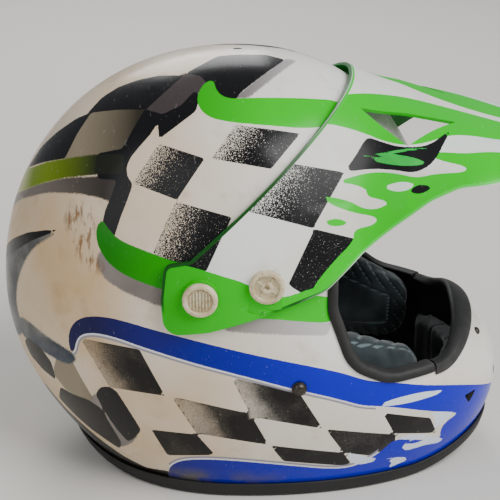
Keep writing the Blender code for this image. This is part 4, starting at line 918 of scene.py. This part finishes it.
def clamp_arc(width, margin_deg, steps=16):
    """The path of the clamp screw as the visor tilts, this wide to each side and so far past its ends."""
    pivot, clamp = Vector(PIVOT), Vector(CLAMP)
    arm = clamp - pivot
    outer, inner = [], []
    for k in range(steps + 1):
        swing = math.radians(-margin_deg + (TILT_UP_DEG + 2 * margin_deg) * k / steps)
        turned = Matrix.Rotation(swing, 2) @ arm
        outer.append(pivot + turned * (1 + width / arm.length))
        inner.append(pivot + turned * (1 - width / arm.length))
    return outer + inner[::-1]


def side_tool(side, name, outline, low, high):
    """A prism on one side, from low to high outward."""
    return prism(f"tool_{name}_{side}", outline, *sorted((side * low, side * high)))


def make_visor(rows=140, columns=181):
    y = np.linspace(VISOR_REAR_Y, VISOR_TIP_Y - 0.006, rows)[:, None]
    swing = np.linspace(0, math.pi, columns)[None, :]
    x, z = visor_arch(y, swing)
    x = x * np.sign(np.cos(swing))
    x[:, columns // 2] = 0
    points = np.stack([x, y + 0 * x, z], -1)
    mesh = bpy.data.meshes.new("visor_peak")
    mesh.from_pydata(points.reshape(-1, 3).tolist(), [], quads(rows, columns, False))
    visor = link("visor_peak", mesh)
    if mesh.polygons[(rows // 2) * (columns - 1) + columns // 2].normal.z < 0:
        mesh.flip_normals()
    wall = visor.modifiers.new("wall", "SOLIDIFY")
    wall.thickness, wall.offset, wall.use_even_offset = VISOR_WALL, -1, True
    outline = rounded(VISOR_OUTLINE)
    combine(visor, prism("tool_side", outline, -0.2, 0.2), "INTERSECT")
    half = [(0.16, 0.10, 0.0), (0.16, VISOR_TIP_Y + 0.10, 0.0)]
    half += [(0.084, VISOR_TIP_Y + VISOR_BOW, VISOR_CORNER), (0.030, VISOR_TIP_Y, 0.05)]
    plan = rounded([(-0.16, 0.10, 0.0), *half, *((-x, y, radius) for x, y, radius in half[:0:-1])])
    combine(visor, prism("tool_plan", plan, 0.05, 0.35, Matrix.Identity(4)), "INTERSECT")
    for side in (-1, 1):
        y, z = PIVOT
        seat = screw_seat(PIVOT)
        centre = (side * (seat - BOSS_DEPTH / 2), y, z)
        boss = cylinder(f"tool_boss_{side}", BOSS_RADIUS, BOSS_DEPTH, centre, (1, 0, 0))
        combine(visor, boss, "UNION")
        seat = screw_seat(CLAMP)
        combine(visor, side_tool(side, "arc", clamp_arc(0.0085, 9.0), seat - BOSS_DEPTH, seat), "UNION")
        sweep = clamp_arc(HEAD_RADIUS + 0.0006, 16.5)
        combine(visor, side_tool(side, "sweep", sweep, seat, seat + 0.012))
        hole = cylinder(f"tool_hole_{side}", HOLE_RADIUS, 0.03, (side * 0.122, y, z), (1, 0, 0), 32)
        combine(visor, hole)
        combine(visor, side_tool(side, "slot", clamp_arc(HOLE_RADIUS + 0.0002, 4.5), 0.105, 0.14))
        corners = [Vector((-side * x, y, z)) for x, y, z in VENT_CORNERS]
        out = Vector(VENT_DIRECTION).normalized()
        out.x *= -side
        rings = [[c + out * reach for c in corners] for reach in (-VENT_CUT_DEPTH, VENT_CUT_DEPTH)]
        combine(visor, link(f"tool_vent_{side}", loft("vent", rings, True, "caps")))
    settle(visor)
    points = get_points(visor.data)
    places = stencil(points)
    side_outline = [(p.x / MM, p.y / MM) for p in outline]
    add_coats(visor.data, places, VISOR_COATS)
    add_field(visor.data, "edge", np.clip(depth_inside(points[:, 1:] / MM, side_outline), 0, -FAR_OUT))
    add_field(visor.data, "crumble", crumbling(places, VISOR_CHECKS[:1]))
    under = plain_paint("visor_underside", rgb(14, 120, 34), rgb(10, 96, 28), 60, 0.42)
    faces = visor.data.polygons
    centres, normals = np.array([f.center for f in faces]), np.array([f.normal for f in faces])
    inner = (normals * outward(centres)).sum(-1) < -0.35
    place_piece(visor, "visor", ["visor"], [visor_paint(), under])
    visor.data.polygons.foreach_set("material_index", inner.astype(np.int32))


# ---------------------------------------------------------------- rubber edgings


def soften(ring, times=2):
    """Cuts the corners of closed rings of points, given as (..., corners, 3)."""
    for _ in range(times):
        after = np.roll(ring, -1, axis=-2)
        pair = np.stack([ring * 0.78 + after * 0.22, ring * 0.22 + after * 0.78], -2)
        ring = pair.reshape(*ring.shape[:-2], -1, ring.shape[-1])
    return ring


def whole_rim(half_steps=170):
    """Frames round the eye port from the middle of the chin over the brow and back."""
    outline = rounded(PORT_OUTLINE)
    places, normals = [], []
    for first, second in zip(outline[:-1], outline[1:]):
        along = second - first
        normal = Vector((along.y, -along.x)).normalized()
        steps = max(2, int(along.length / 0.0004))
        for k in range(steps):
            places.append(first + along * (k / steps))
            normals.append((0, normal.x, normal.y))
    y, z = np.array(places).T
    x = side_x(y, z)
    seen = x > 0
    path = np.stack([-x, y, z], -1)[seen]
    normals = np.array(normals)[seen]
    path = np.concatenate([path[:1] * (0, 1, 1), path, path[-1:] * (0, 1, 1)])
    normals = np.concatenate([normals[:1], normals, normals[-1:]])
    run = np.concatenate([[0], np.cumsum(np.linalg.norm(np.diff(path, axis=0), axis=1))])
    at, wide = np.linspace(0, run[-1], half_steps + 1), 0.004

    def at_run(values, shift=0.0):
        return np.stack([np.interp(at + shift, run, column) for column in values.T], -1)

    path = at_run(path)
    normals = np.mean([at_run(normals, shift) for shift in (-wide, 0, wide)], 0)
    right, into = path[::-1], normals[::-1]
    place = np.concatenate([right, right[::-1][1:-1] * (-1, 1, 1)])
    into = unit(np.concatenate([into, into[::-1][1:-1]]))
    along = unit(np.roll(place, -1, 0) - np.roll(place, 1, 0))
    skin = outward(place)
    over = np.cross(skin, along)
    over *= np.sign((over * into).sum(-1, keepdims=True))
    through = np.cross(into, along)
    through *= np.sign((through * skin).sum(-1, keepdims=True))
    return place, into, unit(through), skin, unit(over)


def unit(vectors):
    return vectors / np.linalg.norm(vectors, axis=-1, keepdims=True)


def cross_sections(frames, corners):
    """Lines along the rim for an edging's corners, each so far over, into, out of and through it."""
    place, into, through, skin, over = frames
    return [place + over * a + into * b + skin * c + through * d for a, b, c, d in corners]


def banded_loft(name, sections, marks, ends):
    """A lofted edging with its corners cut, and a field that marks the corners painted paler, as a painted
    highlight mixed with wear.
    """
    rings = soften(np.stack(sections, 1))
    shade = soften(np.array(marks, float)[:, None])[:, 0]
    mesh = loft(name, list(rings), True, ends)
    add_field(mesh, "highlight_ridge", np.tile(shade, len(rings)))
    return link(name, mesh)


def make_edgings():
    rubber = rubber_paint("edge_rubber")
    frames = whole_rim()
    flank = np.flatnonzero(frames[0][:, 1] > NOSE_GUARD_END_Y)
    first, last = flank.min(), flank.max()
    lip, web, depth, crest = 0.0036, 0.0040, 0.0075, 0.0030
    corners = [
        (-lip, 0, 0.0002, 0), (0.0006 - lip, 0, 0.0018, 0), (-lip * 0.3, 0, crest, 0),
        (0, web * 0.45, crest * 0.75, 0), (0, web, crest * 0.1, 0), (0, web, 0, -depth),
        (0, 0.0007, 0, -depth), (0, 0.0007, 0.0002, 0),
    ]
    sections = cross_sections([f[first : last + 1] for f in frames], corners)
    # The marks make the inner top edge of the trim paler: a painted highlight, mixed with wear.
    trim = banded_loft("port_trim", sections, [0, 0, 0.1, 0.5, 1, 0.3, 0, 0], "caps")
    place_piece(trim, "helmet", ["eye_port_trim"], [rubber], 50)
    order = np.r_[last + 1 : len(frames[0]), 0:first]
    swell = np.sin(np.pi * np.arange(len(order)) / (len(order) - 1))[:, None] ** 2
    tall, lean = 0.0040 + 0.0110 * swell, 0.0012 + 0.0045 * swell
    lip = 0.0060 - 0.0042 * swell
    corners = [
        (-lip, 0, 0.0002, 0), (0.0006 - lip, 0, 0.0016, 0), (0, 0.0010, 0.0026 - 0.0009 * swell, 0),
        (0, tall - 0.0010, 0, 0.0010 - lean), (0, tall, 0, -lean - 0.0012),
        (0, tall - 0.0010, 0, -lean - 0.0034), (0, 0.0007, 0, -0.0095), (0, 0.0007, 0.0002, 0),
    ]
    sections = cross_sections([f[order] for f in frames], corners)
    # The marks make the guard's outer lip paler: a painted highlight, mixed with wear.
    guard = banded_loft("nose_flap", sections, [0.9, 1, 0.9, 0.1, 0.1, 0, 0, 0], "caps")
    place_piece(guard, "helmet", ["nose_guard"], [rubber], 50)
    angle = FULL_TURN * np.arange(420) / 420
    z = base_edge(section(angle, np.zeros(420))[:, 1])
    edge = section(angle, z + TRIM_BELOW_SHELL)
    top = section(angle, z + TRIM_BELOW_SHELL + 0.0055)
    flat, up, roof = unit(outward(edge) * (1, 1, 0)), np.array([0, 0, 1.0]), TRIM_BELOW_SHELL - 0.0005
    foot = np.concatenate([edge[:, :2], z[:, None]], -1)
    corners = [(0.0026, 0.0012), (0.0012, 0), (-0.0070, 0), (-0.0070, roof), (GAP, roof)]
    sections = [top + flat * 0.0002, top + flat * 0.0024 - up * 0.0006]
    sections += [foot + flat * a + up * b for a, b in corners]
    # The marks make the top of the base edging a little paler: a painted highlight, mixed with wear.
    base = banded_loft("base_edging", sections, [0.1, 0.2, 0.1, 0, 0, 0, 0], "loop")
    place_piece(base, "helmet", ["base_trim"], [rubber], 50)


# ---------------------------------------------------------------- screws and rivets


def bar(name, size, place, turn=0.0, axis="X"):
    """A small block with rounded edges."""
    work = bmesh.new()
    bmesh.ops.create_cube(work, size=1.0)
    bmesh.ops.scale(work, vec=size, verts=work.verts)
    bmesh.ops.bevel(work, geom=work.edges[:], offset=min(size) * 0.3, segments=3, affect="EDGES")
    mesh = freed(work, name)
    mesh.transform(Matrix.Translation(place) @ Matrix.Rotation(turn, 4, axis))
    return link(name, mesh)


def join(name, pieces):
    """One object out of several."""
    work = bmesh.new()
    for piece in pieces:
        work.from_mesh(piece.data)
        bpy.data.objects.remove(piece)
    return link(name, freed(work, name))


def rim_profile(recess):
    """Half of a screw head's section: a raised round rim about a sunken middle."""
    r, h = HEAD_RADIUS, HEAD_HEIGHT
    rim = [(r - 0.0034, recess), (r - 0.0031, h - 0.0006), (r - 0.0027, h - 0.0001), (r - 0.0022, h)]
    rim += [(r - 0.0009, h - 0.0001), (r - 0.0003, h - 0.0005), (r, h - 0.0012), (r, 0.0)]
    return rim + [(SHANK_RADIUS, 0.0), (SHANK_RADIUS, -SHANK_LENGTH), (0.0, -SHANK_LENGTH)]


def make_screws():
    cream = cream_paint("screw_cream")
    dark = plain_paint("rivet_steel", rgb(46, 43, 40), rgb(92, 86, 78), 700, 0.38, 0.25, 0.0002, Metallic=0.9)
    for side, label in SIDES:
        y, z = PIVOT
        seat = screw_seat(PIVOT) + GAP
        floor = HEAD_HEIGHT - 0.0020
        disc = [(0.0, floor), (HEAD_RADIUS - 0.0040, floor)] + rim_profile(floor)
        parts = [lathe("pivot_body", disc, (side * seat, y, z), (side, 0, 0))]
        for k in range(-3, 4):
            reach = math.sqrt(0.0072**2 - (k * 0.0020) ** 2)
            top = side * (seat + floor + 0.0004)
            parts.append(bar("rib", (0.0016, 0.0010, 2 * reach), (top, y + k * 0.0020, z)))
        screw = join(f"pivot_screw_{label}", parts)
        place_piece(screw, "helmet", [f"visor_pivot_screw_{label}"], [cream], 35)
        y, z = CLAMP
        seat = screw_seat(CLAMP) + GAP
        floor = HEAD_HEIGHT - 0.0022
        hub = [(0.0, -0.0008), (0.0013, -0.0008), (0.0016, 0.0012), (0.0020, 0.0016), (0.0036, 0.0016)]
        hub += [(0.0040, 0.0012), (0.0042, 0.0), (HEAD_RADIUS - 0.0040, 0.0)]
        hub = [(radius, floor + height) for radius, height in hub]
        parts = [lathe("clamp_body", hub + rim_profile(floor), (side * seat, y, z), (side, 0, 0))]
        for k in range(4):
            turn = math.radians(35 + 90 * k)
            spoke = Vector((0, math.cos(turn), math.sin(turn))) * 0.0056
            top = side * (seat + floor + 0.0003)
            parts.append(bar("spoke", (0.0018, 0.0040, 0.0014), (top, y + spoke.y, z + spoke.z), turn))
        screw = join(f"clamp_screw_{label}", parts)
        place_piece(screw, "helmet", [f"visor_clamp_screw_{label}"], [cream], 35)
        y, z = RIVET
        seat = float(side_x(y, z)) + 0.0012
        dome = [(0.0, 0.0036), (0.0010, 0.0035), (0.0022, 0.0031), (0.0034, 0.0024), (0.0042, 0.0015)]
        dome += [(0.0044, 0.0009), (0.0049, 0.0008), (0.0050, 0.0005), (0.0050, -0.0012)]
        dome += [(0.0025, -0.0012), (0.0, -0.0012)]
        head = lathe("rivet_head", dome, (side * seat, y, z), (side, 0, 0), 64)
        pin = [(0.0, -0.001), (0.0024, -0.001), (0.0024, -0.012), (0.0, -0.012)]
        shank = lathe("rivet_shank", pin, (side * seat, y, z), (side, 0, 0), 48)
        rivet = join(f"rivet_{label}", [head, shank])
        place_piece(rivet, "helmet", [f"strap_rivet_{label}"], [dark], 35)
    spot, skin = on_side(-1, GUARD_SCREW)
    dome = [(0.0, 0.0009), (0.0006, 0.0010), (0.0008, 0.0018), (0.0016, 0.0016), (0.0024, 0.0011)]
    dome += [(0.0028, 0.0004), (0.0028, -0.0004), (0.0, -0.0004)]
    head = lathe("chin_screw", dome, spot, skin, 48)
    place_piece(head, "helmet", ["nose_guard_screw"], [dark], 35)


# ---------------------------------------------------------------- padding


def inflate(obj, voxel, pressure, cap):
    """Blows a soft solid up by cloth simulation and returns it with a finer, smoother mesh."""
    even = obj.modifiers.new("even", "REMESH")
    even.mode, even.voxel_size = "VOXEL", voxel
    settle(obj)
    before = get_points(obj.data)
    cloth = obj.modifiers.new("air", "CLOTH")
    cloth.settings.use_pressure = True
    cloth.settings.uniform_pressure_force = pressure
    cloth.settings.effector_weights.gravity = 0
    for step in range(1, 21):
        bpy.context.scene.frame_set(step)
    settle(obj)
    move = get_points(obj.data) - before
    size = np.linalg.norm(move, axis=1, keepdims=True)
    set_points(obj.data, before + move * np.minimum(1, cap / np.maximum(size, 1e-9)))
    bpy.context.scene.frame_set(1)
    finer = obj.modifiers.new("finer", "SUBSURF")
    finer.levels = finer.render_levels = 2
    return settle(obj)


def press(obj, seam, depth):
    """Sinks the surface by depth where the seam field is 1, and keeps the field for the thread."""
    sunk = get_points(obj.data) - get_points(obj.data, "normal") * (seam * depth)[:, None]
    set_points(obj.data, sunk)
    add_field(obj.data, "seam", seam)


def stripes(run, pitch, width):
    """1 on lines at an even pitch, fading to 0 at their width."""
    off = np.abs((run / pitch) % 1 - 0.5) * pitch
    return np.exp(-((0.5 * pitch - off) ** 2) / width**2)


def make_cheek_pads():
    cloth = cloth_paint("cheek_cloth", rgb(16, 25, 29), rgb(34, 46, 51), 0.0010, "seam")
    outline = rounded(CHEEK_OUTLINE, 8)
    middle = sum(outline, Vector((0, 0))) / len(outline)
    stages = [(0.0, 0.03), (0.55, 0.03), (0.94, 0.04), (0.985, 0.16), (0.985, 0.58), (0.91, 0.82)]
    stages += [(0.70, 0.93), (0.0, 0.96)]
    for side, label in SIDES:
        rings = []
        for scale, depth in stages:
            ring = []
            for point in outline:
                y, z = middle + (point - middle) * max(scale, 0.001)
                crown = CHEEK_THICKNESS * (1 - 0.35 * float(smooth((-0.085 - y) / 0.045)))
                ring.append(Vector((side * (float(side_x(y, z, -CHEEK_OUT)) - crown * depth), y, z)))
            rings.append(ring)
        pad = inflate(link("pad", loft("pad", rings, True, "caps")), 0.0045, 4.0, 0.0025)
        points = get_points(pad.data)
        depth = side_x(points[:, 1], points[:, 2], -CHEEK_OUT) - np.abs(points[:, 0])
        edge = depth_inside(points[:, 1:] / MM, [(p.x / MM, p.y / MM) for p in outline])
        run = points[:, 1] * 0.80 - points[:, 2] * 0.60
        band = smooth((13 - edge) / 3) * smooth((depth - 0.006) / 0.004)
        hatch = stripes(run, 0.0065, 0.0009) * band
        border = np.exp(-((edge - 15) ** 2) / 1.3**2) * smooth((depth - 0.012) / 0.004)
        piping = np.exp(-((depth - 0.0050) ** 2) / 0.0012**2)
        press(pad, np.clip(hatch + border + piping, 0, 1), 0.0011)
        pad.name = f"cheek_cushion_{label}"
        place_piece(pad, "helmet", [f"cheek_pad_{label}"], [cloth], 180)


def copy_of(node, name, shrink):
    """A copy of a node's mesh, drawn in a little on all sides."""
    work = bmesh.new()
    work.from_mesh(nodes[node].data)
    work.transform(nodes[node].matrix_world)
    work.normal_update()
    for vertex in work.verts:
        vertex.co -= vertex.normal * shrink
    mesh = freed(work, name)
    mesh.transform(Matrix.Translation((0, -SHIFT_Y, 0)))
    return link(name, mesh)


def make_linings():
    lining = cloth_paint("lining_cloth", rgb(24, 27, 31), rgb(50, 56, 60), 0.0011, "seam")
    cap = inflate(copy_of("crown_lining", "crown_padding", 0.0003), 0.0030, 2.0, 0.0012)
    points = get_points(cap.data)
    inner = smooth((0.985 - level(points, -LINING_OUT)) / 0.01)
    rib = stripes(np.arctan2(points[:, 0], points[:, 1] + 0.02), math.radians(18), math.radians(0.9))
    hoop = stripes(points[:, 2], 0.022, 0.0010)
    press(cap, np.clip(rib + hoop, 0, 1) * inner, 0.0011)
    place_piece(cap, "helmet", ["crown_lining"], [lining], 180)
    roll_rings = []
    steps, sides, level_z = 200, 40, np.array(NECK_ROLL_Z)
    for k in range(steps + 1):
        angle = math.radians(22 + (180 - 44) * k / steps)
        centre = section(np.array(angle), level_z, -NECK_ROLL_INSET)
        centre[2] += 0.8 * float(base_edge(centre[1]))
        ahead = section(np.array(angle + 0.01), level_z, -NECK_ROLL_INSET) - centre
        along = Vector((ahead[0], ahead[1], 0)).normalized()
        across = Vector((-along.y, along.x, 0))
        gather = 0.0005 * math.sin(k * 1.3) + 0.0004 * math.sin(k * 0.47 + 1)
        end = min(k, steps - k) / 6
        size = (NECK_ROLL_RADIUS - 0.0006 + gather) * (1 - max(0.0, 1 - end) ** 2) ** 0.5 + 0.0001
        ring = []
        for s in range(sides):
            turn = FULL_TURN * s / sides
            piping = 0.0007 * math.exp(-(((turn - math.pi / 2) / 0.12) ** 2))
            spoke = across * math.cos(turn) + Vector((0, 0, 1)) * math.sin(turn)
            ring.append(Vector(centre) + spoke * (size - piping))
        roll_rings.append(ring)
    roll = link("nape_roll", loft("nape_roll", roll_rings, True, "caps"))
    add_field(roll.data, "seam", np.zeros(len(roll.data.vertices)))
    place_piece(roll, "helmet", ["neck_roll"], [lining], 180)
    foam = inflate(copy_of("chin_foam", "chin_padding", 0.0010), 0.0040, 3.0, 0.0012)
    points = get_points(foam.data)
    press(foam, stripes(points[:, 0], 0.024, 0.0012), 0.0008)
    dark = cloth_paint("chin_cloth", rgb(12, 12, 13), rgb(24, 24, 26), 0.0011)
    place_piece(foam, "helmet", ["chin_foam"], [dark], 180)


# ---------------------------------------------------------------- chin strap


def curve_through(points, steps=10):
    """A smooth line through a few (x, z) points."""
    line = []
    last = len(points) - 1
    for k in range(last):
        p0, p1 = Vector(points[max(0, k - 1)]), Vector(points[k])
        p2, p3 = Vector(points[k + 1]), Vector(points[min(last, k + 2)])
        for step in range(steps):
            t = step / steps
            linear = (p2 - p0) * t
            square = (2 * p0 - 5 * p1 + 4 * p2 - p3) * t**2
            cube = (3 * p1 - p0 - 3 * p2 + p3) * t**3
            line.append(0.5 * (2 * p1 + linear + square + cube))
    line.append(Vector(points[-1]))
    return line


def webbing(name, line, closed=False, stitches=()):
    """A woven strap along a line of (x, z) points, ribbed along its length, with raised stitching."""
    half = WEBBING_WIDTH / 2 - 0.0002
    columns = 40
    rings = []
    count = len(line)
    for k, here in enumerate(line):
        before = line[k - 1] if closed or k else line[0]
        after = line[(k + 1) % count] if closed or k < count - 1 else line[-1]
        along = (after - before).normalized()
        across = Vector((-along.y, along.x))
        ring = []
        for s in range(columns * 2):
            share = s / columns if s < columns else (2 * columns - s) / columns
            y = half * math.cos(math.pi * (1 - share))
            thin = WEBBING_THICKNESS / 2 * (1 - abs(y / half) ** 8 * 0.6)
            rib = 0.00010 * math.cos(FULL_TURN * y / 0.0020) * math.cos(math.pi * k)
            reach = (thin - 0.00012 + rib) * (1 if s < columns else -1)
            spot = here + across * reach
            ring.append(Vector((spot.x, STRAP_Y + y, spot.y)))
        rings.append(ring)
    pieces = [link("band", loft("band", rings, True, "loop" if closed else "caps"))]
    for x, z, lift in stitches:
        for row in range(5):
            y = STRAP_Y + half * 0.7 * (row / 2 - 1)
            pieces.append(bar("stitch", (0.0026, 0.0007, 0.0005), (x, y, z + lift)))
    return join(name, pieces)


def make_strap():
    woven = webbing_paint("strap_webbing")
    steel = metal_paint("ring_steel", rgb(150, 148, 144), rgb(190, 188, 184), 400, 0.28, 0.1)
    for side, label in SIDES:
        low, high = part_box(f"strap_anchor_{label}")
        inner = min(abs(low[0]), abs(high[0]))
        x_top = inner - 0.0015
        points = [(x_top, RIVET[1] + 0.010), (x_top, 0.084), (0.1015, 0.058), (0.0930, 0.0410)]
        points.append((0.0790, 0.0318))
        line = [Vector((side * p.x, p.y)) for p in curve_through(points)]
        root = webbing(f"strap_tail_{label}", line)
        place_piece(root, "helmet", [f"strap_root_{label}"], [woven], 60)
    bar_x, apex = RING_BAR_X, RING_BAR_X - RING_DEPTH
    short = [(0.0775, 0.0300), (0.0745, 0.0200), (0.0690, 0.0150), (0.0600, 0.0143), (bar_x + 0.0050, 0.0143)]
    piece = webbing("strap_left_half", curve_through(short), False, [(0.0600, 0.0143, -0.0009)])
    place_piece(piece, "chin_strap", ["strap_short"], [woven], 60)
    middle = (RING_LOWER_Z + RING_UPPER_Z) / 2
    bore = (RING_UPPER_Z - RING_LOWER_Z) / 2 + RING_WIRE + GAP + WEBBING_THICKNESS / 2
    turns = [FULL_TURN * k / 64 for k in range(64)]
    wide = (bore - WEBBING_THICKNESS / 2) * LOOP_FLATNESS + WEBBING_THICKNESS / 2
    loop = [Vector((bar_x + wide * math.cos(a), middle + bore * math.sin(a))) for a in turns]
    piece = webbing("strap_loop", loop, True)
    place_piece(piece, "chin_strap", ["strap_ring_loop"], [woven], 60)
    under = RING_LOWER_Z - RING_WIRE - GAP - WEBBING_THICKNESS / 2 - 0.0002
    over = RING_UPPER_Z + RING_WIRE + GAP + WEBBING_THICKNESS / 2 + 0.0002
    inside = apex + RING_WIRE + 0.0040
    second = under + WEBBING_THICKNESS + 0.0006
    line = [
        (-0.0775, 0.0300), (-0.0745, 0.0190), (-0.0660, 0.0118), (-0.0500, under), (0.0, under),
        (apex - 0.004, under), (apex + 0.0015, under + 0.0003), (inside - 0.0006, RING_LOWER_Z - 0.0005),
        (inside, middle), (inside - 0.0006, RING_UPPER_Z + 0.0005), (apex + 0.0015, over - 0.0002),
        (apex - 0.004, over), (apex - 0.014, over - 0.0020), (apex - 0.026, second + 0.0006),
        (apex - 0.040, second), (apex - 0.066, second),
    ]
    piece = webbing("strap_right_half", curve_through(line, 8))
    place_piece(piece, "chin_strap", ["strap_long"], [woven], 60)
    for label, z in (("lower", RING_LOWER_Z), ("upper", RING_UPPER_Z)):
        bow = [(bar_x, RING_HALF_WIDTH * (2 * k / 12 - 1)) for k in range(13)]
        for k in range(1, 60):
            angle = math.pi * k / 60
            reach = RING_DEPTH * math.sin(angle) ** 0.42
            wide = math.copysign(abs(math.cos(angle)) ** 0.6, math.cos(angle))
            bow.append((bar_x - reach, RING_HALF_WIDTH * wide))
        rings = []
        for k, (x, y) in enumerate(bow):
            before, after = Vector(bow[k - 1]), Vector(bow[(k + 1) % len(bow)])
            here = Vector((x, y))
            along = ((here - before).normalized() + (after - here).normalized()).normalized()
            across = Vector((-along.y, along.x, 0))
            ring = []
            for s in range(20):
                angle = FULL_TURN * s / 20
                spoke = across * math.cos(angle) + Vector((0, 0, 1)) * math.sin(angle)
                ring.append(Vector((x, STRAP_Y + y, z)) + spoke * RING_WIRE)
            rings.append(ring)
        ring = link(f"ring_{label}", loft(f"ring_{label}", rings, True, "loop"))
        place_piece(ring, "chin_strap", [f"d_ring_{label}"], [steel], 60)
    top = under + 1.5 * WEBBING_THICKNESS + 0.0006 + 2 * GAP
    dome = [(0.0, 0.0018), (0.0008, 0.0019), (0.0012, 0.0026), (0.0022, 0.0026), (0.0038, 0.0024)]
    dome += [(0.0048, 0.0020), (0.0054, 0.0012), (0.0060, 0.0009), (0.0060, 0.0002), (0.0058, 0.0)]
    dome.append((0.0, 0.0))
    snap = lathe("snap_stud", dome, (apex - 0.056, STRAP_Y, top), (0, 0, 1), 64)
    place_piece(snap, "chin_strap", ["strap_snap"], [steel], 35)


# ---------------------------------------------------------------- vents, liner and hidden fittings


def make_screens():
    black = plain_paint("screen_black", rgb(14, 14, 15), rgb(34, 34, 34), 800, 0.5, 0.2, 0.0002)
    for side, label in SIDES:
        spot, skin = on_side(side, SIDE_VENT)
        centre = Vector(spot) - skin * (SCREEN_INSET + SCREEN_THICKNESS / 2)
        r, h = SCREEN_RADIUS, SCREEN_THICKNESS / 2
        rim = [(r - 0.0012, -h), (r, -h), (r, h), (r - 0.0012, h)]
        pieces = [lathe("rim", rim, (0, 0, 0), (0, 0, 1), 64)]
        for k in range(-5, 6):
            offset = k * 0.0013
            reach = math.sqrt((SCREEN_RADIUS - 0.0006) ** 2 - offset**2)
            pieces.append(bar("wire", (2 * reach, 0.0004, 0.0004), (0, offset, 0.0001)))
            pieces.append(bar("wire", (0.0004, 2 * reach, 0.0004), (offset, 0, -0.0001)))
        screen = join(f"vent_mesh_{label}", pieces)
        turn = Vector((0, 0, 1)).rotation_difference(skin).to_matrix().to_4x4()
        screen.data.transform(Matrix.Translation(centre) @ turn)
        place_piece(screen, "helmet", [f"chin_vent_screen_{label}"], [black], 40)


def finish_nodes():
    """The CAD pieces that stay: softened edges and their own finishes."""
    steel = metal_paint("plate_steel", rgb(140, 138, 132), rgb(176, 172, 164))
    brass = metal_paint("insert_brass", rgb(150, 122, 62), rgb(176, 148, 84))
    black = plain_paint("moulded_black", rgb(16, 16, 17), rgb(34, 34, 35), 700, 0.48, 0.2, 0.0003)
    foam = foam_paint("bead_foam", rgb(14, 14, 16), rgb(24, 24, 26))
    kept = {"mouth_vent_grille": black, "impact_liner": foam}
    for _, label in SIDES:
        kept[f"strap_anchor_{label}"] = steel
        kept |= {f"visor_{place}_nut_{label}": brass for place in ("pivot", "clamp")}
        kept |= {f"cheek_snap_{place}_{label}": black for place in ("front", "rear")}
    for node, paint in kept.items():
        obj = nodes[node]
        obj.material_slots[0].material = paint
        edge = obj.modifiers.new("edge", "BEVEL")
        edge.width, edge.segments, edge.limit_method = 0.0002, 2, "ANGLE"


make_shell()
make_visor()
make_edgings()
make_screws()
make_cheek_pads()
make_linings()
make_strap()
make_screens()
finish_nodes()

# ---------------------------------------------------------------- stage, light and camera

FLOOR_HALF, FLOOR_Z = 3.0, -0.0005
CAMERA_TURN, CAMERA_LIFT = math.radians(272.48), math.radians(22.48)
CAMERA_DISTANCE, CAMERA_LENS, SENSOR_WIDTH = 1.0, 100.5, 36
LOOK_AT, LIGHTS_AT = Vector((0, 0.0342, 0.1447)), Vector((0, 0, 0.12))


def make_stage():
    corners = [(x * FLOOR_HALF, y * FLOOR_HALF, FLOOR_Z) for x, y in ((-1, -1), (1, -1), (1, 1), (-1, 1))]
    floor = link("floor", mesh_from("floor", corners, [(0, 1, 2, 3)]))
    paint = Paint("floor_paint")
    paint.set(Base_Color=rgb(226, 222, 214), Roughness=0.75)
    floor.data.materials.append(paint.material)
    world = bpy.data.worlds.new("studio")
    bpy.context.scene.world = world
    world.use_nodes = True
    sky = world.node_tree.nodes["Background"].inputs
    sky[0].default_value, sky[1].default_value = (0.92, 0.95, 1.0, 1.0), 0.30
    for name, spot, size, power in (
        ("key", (-0.9, -1.3, 1.6), 1.5, 52),
        ("fill", (-1.3, 1.0, 1.1), 1.4, 8),
        ("rear", (1.5, 0.4, 1.3), 1.0, 16),
    ):
        light = bpy.data.lights.new(name, "AREA")
        light.size, light.energy = size, power
        lamp = link(name, light)
        lamp.location = spot
        lamp.rotation_euler = (LIGHTS_AT - Vector(spot)).to_track_quat("-Z", "Y").to_euler()
    camera = link("camera", bpy.data.cameras.new("camera"))
    camera.data.lens, camera.data.sensor_width = CAMERA_LENS, SENSOR_WIDTH
    flat = math.cos(CAMERA_LIFT)
    back = Vector((math.sin(CAMERA_TURN) * flat, -math.cos(CAMERA_TURN) * flat, math.sin(CAMERA_LIFT)))
    camera.location = LOOK_AT + back * CAMERA_DISTANCE
    camera.rotation_euler = (-back).to_track_quat("-Z", "Y").to_euler()
    bpy.context.scene.camera = camera


make_stage()
